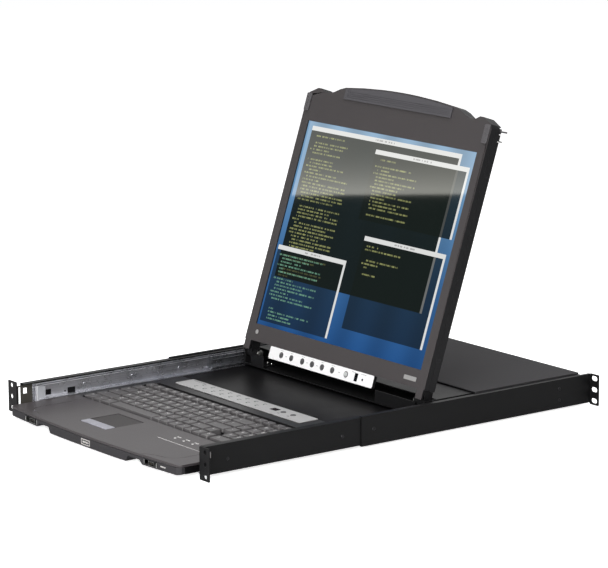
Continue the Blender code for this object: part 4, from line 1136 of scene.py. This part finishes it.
def lamp_material(name, colour, strength):
    """A small lens lit from inside, a little uneven."""
    made, tree, shader = new_material(name, Roughness=0.2, Emission_Strength=strength)
    place = add(tree, "ShaderNodeTexCoord").outputs["Object"]
    speckle = add(tree, "ShaderNodeTexNoise", {"Vector": place, "Scale": 900.0}).outputs[0]
    lit = shaded(tree, colour, spread(tree, speckle, 0.3, 0.7, 0.7, 1.0))
    give(tree, shader, Base_Color=lit, Emission_Color=lit)
    return made


STRIP_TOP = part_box("port_panel")[1].z / MM
PORT_LAMP_LEFT, PORT_LAMP_PITCH = -138.0, 20.6
GREEN_LAMP = lamp_material("green_lamp", (0.05, 0.13, 0.08), 0.12)
lamps, prints = bmesh.new(), bmesh.new()
for row, y in ((0, 239.5), (1, 251.5)):
    for port in range(8):
        x = PORT_LAMP_LEFT + port * PORT_LAMP_PITCH + row * 3.0
        soft_block(lamps, (x, y, STRIP_TOP - 0.2), (x + 3.4, y + 1.8, STRIP_TOP + 0.15), 0.15, 1)
        for number in range(2):
            left = x + number * 3.0 - 0.6
            block(prints, (left, y + 3.4, STRIP_TOP - 0.1),
                  (left + 2.0, y + 5.6, STRIP_TOP + 0.06))
for left, right in ((-164.0, -150.0), (-148.0, -136.0)):
    block(prints, (left, 258.2, STRIP_TOP - 0.1), (right, 259.6, STRIP_TOP + 0.06))
for x in (62.0, 84.0):
    for way in (-1, 0, 1):
        block(prints, (x - 1.6 + way, 239.6 - abs(way), STRIP_TOP - 0.1),
              (x + 1.6 + way, 240.6 - abs(way), STRIP_TOP + 0.06))
finish_piece("port_lamps", lamps, GREEN_LAMP, "keyboard_drawer")
finish_piece("strip_print", prints, PRINT_GREY, "keyboard_drawer")
bm = bmesh.new()
soft_block(bm, (36.0, 243.5, STRIP_TOP - 0.2), (50.0, 253.0, STRIP_TOP + 0.4), 0.3)
finish_piece("station_window", bm, LENS_BLACK, "keyboard_drawer")
SEGMENT_DIM = lamp_material("unlit_segments", (0.05, 0.02, 0.015), 0.05)
bm = bmesh.new()
for digit in (39.2, 44.4):
    for level in (245.0, 248.0, 251.0):
        block(bm, (digit, level, STRIP_TOP + 0.3), (digit + 2.4, level + 0.5, STRIP_TOP + 0.46))
    for left in (digit - 0.6, digit + 2.5):
        for level in (245.6, 248.6):
            block(bm, (left, level, STRIP_TOP + 0.3), (left + 0.5, level + 2.2, STRIP_TOP + 0.46))
finish_piece("station_digits", bm, SEGMENT_DIM, "keyboard_drawer")

PALM_TOP = 17.5
bm = bmesh.new()
for x in (84.0, 104.0, 124.0, 146.0):
    upright_rod(bm, at(x, 56.0, PALM_TOP - 0.2), (0, 0, 1), 1.7, 0.5, 20)
    for left in (x - 4.0, x - 0.9, x + 2.2):
        block(bm, (left, 61.5, PALM_TOP - 0.1), (left + 2.0, 63.7, PALM_TOP + 0.08))
block(bm, (66.0, 41.0, PALM_TOP - 0.1), (160.0, 41.6, PALM_TOP + 0.12))
finish_piece("palm_marks", bm, LEGEND_PALE, "keyboard_drawer")


# ---------------------------------------------------------------- studio
# Plain pale floor, a broad softbox overhead, a smaller one at the right front with a weak one low
# beside it, and a card that the glossy display mirrors. The camera looks from the right front.

def floor_material():
    """Pale for the camera, duller for what it lights, so that black parts stay black."""
    made, tree, shader = new_material("studio_floor", Roughness=0.9, Specular_IOR_Level=0.1,
                                      Emission_Strength=0.82)
    seen = add(tree, "ShaderNodeLightPath").outputs["Is Camera Ray"]
    place = add(tree, "ShaderNodeTexCoord").outputs["Object"]
    mottle = add(tree, "ShaderNodeTexNoise", {"Vector": place, "Scale": 3.0}).outputs[0]
    pale = shaded(tree, (0.9, 0.9, 0.9), spread(tree, mottle, 0.3, 0.7, 0.99, 1.0))
    give(tree, shader, Base_Color=mix(tree, seen, grey(0.5), pale),
         Emission_Color=mix(tree, seen, grey(0.0), grey(1.0)))
    return made


bm = bmesh.new()
bmesh.ops.create_grid(bm, x_segments=1, y_segments=1, size=40.0)
bmesh.ops.translate(bm, vec=(0, 0, cad_box[0].z - 0.5 * MM), verts=bm.verts)
object_from("studio_floor", bm, floor_material())

world = bpy.data.worlds.new("studio")
world.use_nodes = True
sky = world.node_tree
rays = add(sky, "ShaderNodeLightPath").outputs
heading = add(sky, "ShaderNodeTexCoord").outputs["Generated"]
axes = add(sky, "ShaderNodeSeparateXYZ", {0: heading}).outputs
behind = calculate(sky, "MULTIPLY", spread(sky, axes["Z"], 0.25, 0.6, 1.0, 0.0),
                   spread(sky, axes["Y"], -0.05, 0.35, 0.0, 1.0))
backdrop = mix(sky, behind, grey(0.05), grey(0.85))
unseen = mix(sky, rays["Is Glossy Ray"], (0.16, 0.16, 0.17, 1), backdrop)
give(sky, sky.nodes["Background"], Color=mix(sky, rays["Is Camera Ray"], unseen, grey(1.0)))
bpy.context.scene.world = world


def softbox(name, place, target, width, height, power):
    """A rectangular lamp that lights but isn't seen."""
    lamp = bpy.data.lights.new(name, "AREA")
    lamp.shape = "RECTANGLE"
    lamp.size, lamp.size_y = width, height
    lamp.energy = power
    holder = add_object(name, lamp)
    holder.location = place
    aim = Vector(target) - Vector(place)
    holder.rotation_euler = aim.to_track_quat("-Z", "Y").to_euler()
    holder.visible_camera = False
    return holder


softbox("overhead_softbox", (0.1, 0.1, 2.4), (0, 0, 0.1), 2.6, 2.6, 55.0)
softbox("front_right_softbox", (1.5, -1.9, 1.1), (-0.1, -0.2, 0.05), 1.2, 1.2, 30.0)
low_fill = softbox("low_front_softbox", (0.6, -2.0, 0.3), (0.0, 0.05, 0.05), 0.7, 0.4, 1.7)
low_fill.data.spread = math.radians(50.0)

camera_data = bpy.data.cameras.new("camera")
camera_data.sensor_width = 36.0
camera_data.lens = 179.677
camera_data.clip_end = 100.0
camera = add_object("camera", camera_data)
camera.matrix_world = (Matrix.Translation((3.27028, -2.42447, 1.00529))
                       @ Matrix.Rotation(math.radians(53.275), 4, "Z")
                       @ Matrix.Rotation(math.radians(90.0 - 11.499), 4, "X")
                       @ Matrix.Rotation(math.radians(-0.291), 4, "Z"))
camera.rotation_mode = "XYZ"
bpy.context.scene.camera = camera


PANE_FACE, CARD_DISTANCE = -11.2, 1.55


def glare_card():
    """Corners of a softbox's face, where the display mirrors it above a slanting line."""
    face = panel_at(0, PANE_FACE, 0)
    eye = camera.location - 2 * PANEL_OUT * (camera.location - face).dot(PANEL_OUT)
    spots = [panel_at(x, PANE_FACE, up + SCREEN_BOTTOM)
             for x, up in ((-240.0, 183.0), (240.0, 251.0), (240.0, 420.0), (-240.0, 420.0))]
    return [eye + (spot - eye) * CARD_DISTANCE for spot in spots]


bm = bmesh.new()
grid = bmesh.ops.create_grid(bm, x_segments=1, y_segments=1, size=1.0)["verts"]
for vert, corner in zip(sorted(grid, key=lambda v: math.atan2(v.co.y, v.co.x)), glare_card()):
    vert.co = corner
uv = bm.loops.layers.uv.new("card")
for face in bm.faces:
    for loop, spot in zip(face.loops, ((0, 0), (1, 0), (1, 1), (0, 1))):
        loop[uv].uv = spot
card_material, tree, shader = new_material("glare_card")
height = add(tree, "ShaderNodeSeparateXYZ", {0: add(tree, "ShaderNodeTexCoord").outputs["UV"]})
fade = calculate(tree, "POWER", calculate(tree, "SUBTRACT", 1.0, height.outputs["Y"]), 5.0)
glow = spread(tree, fade, 0.0, 1.0, 1.5, 5.0)
lit = add(tree, "ShaderNodeEmission", {"Color": (1.0, 0.99, 0.9, 1.0), "Strength": glow})
give(tree, tree.nodes["Material Output"], Surface=lit.outputs[0])
card = object_from("glare_card", bm, card_material)
card.visible_camera = False
card.visible_diffuse = False
card.visible_shadow = False

bpy.context.scene.view_settings.view_transform = "Standard"
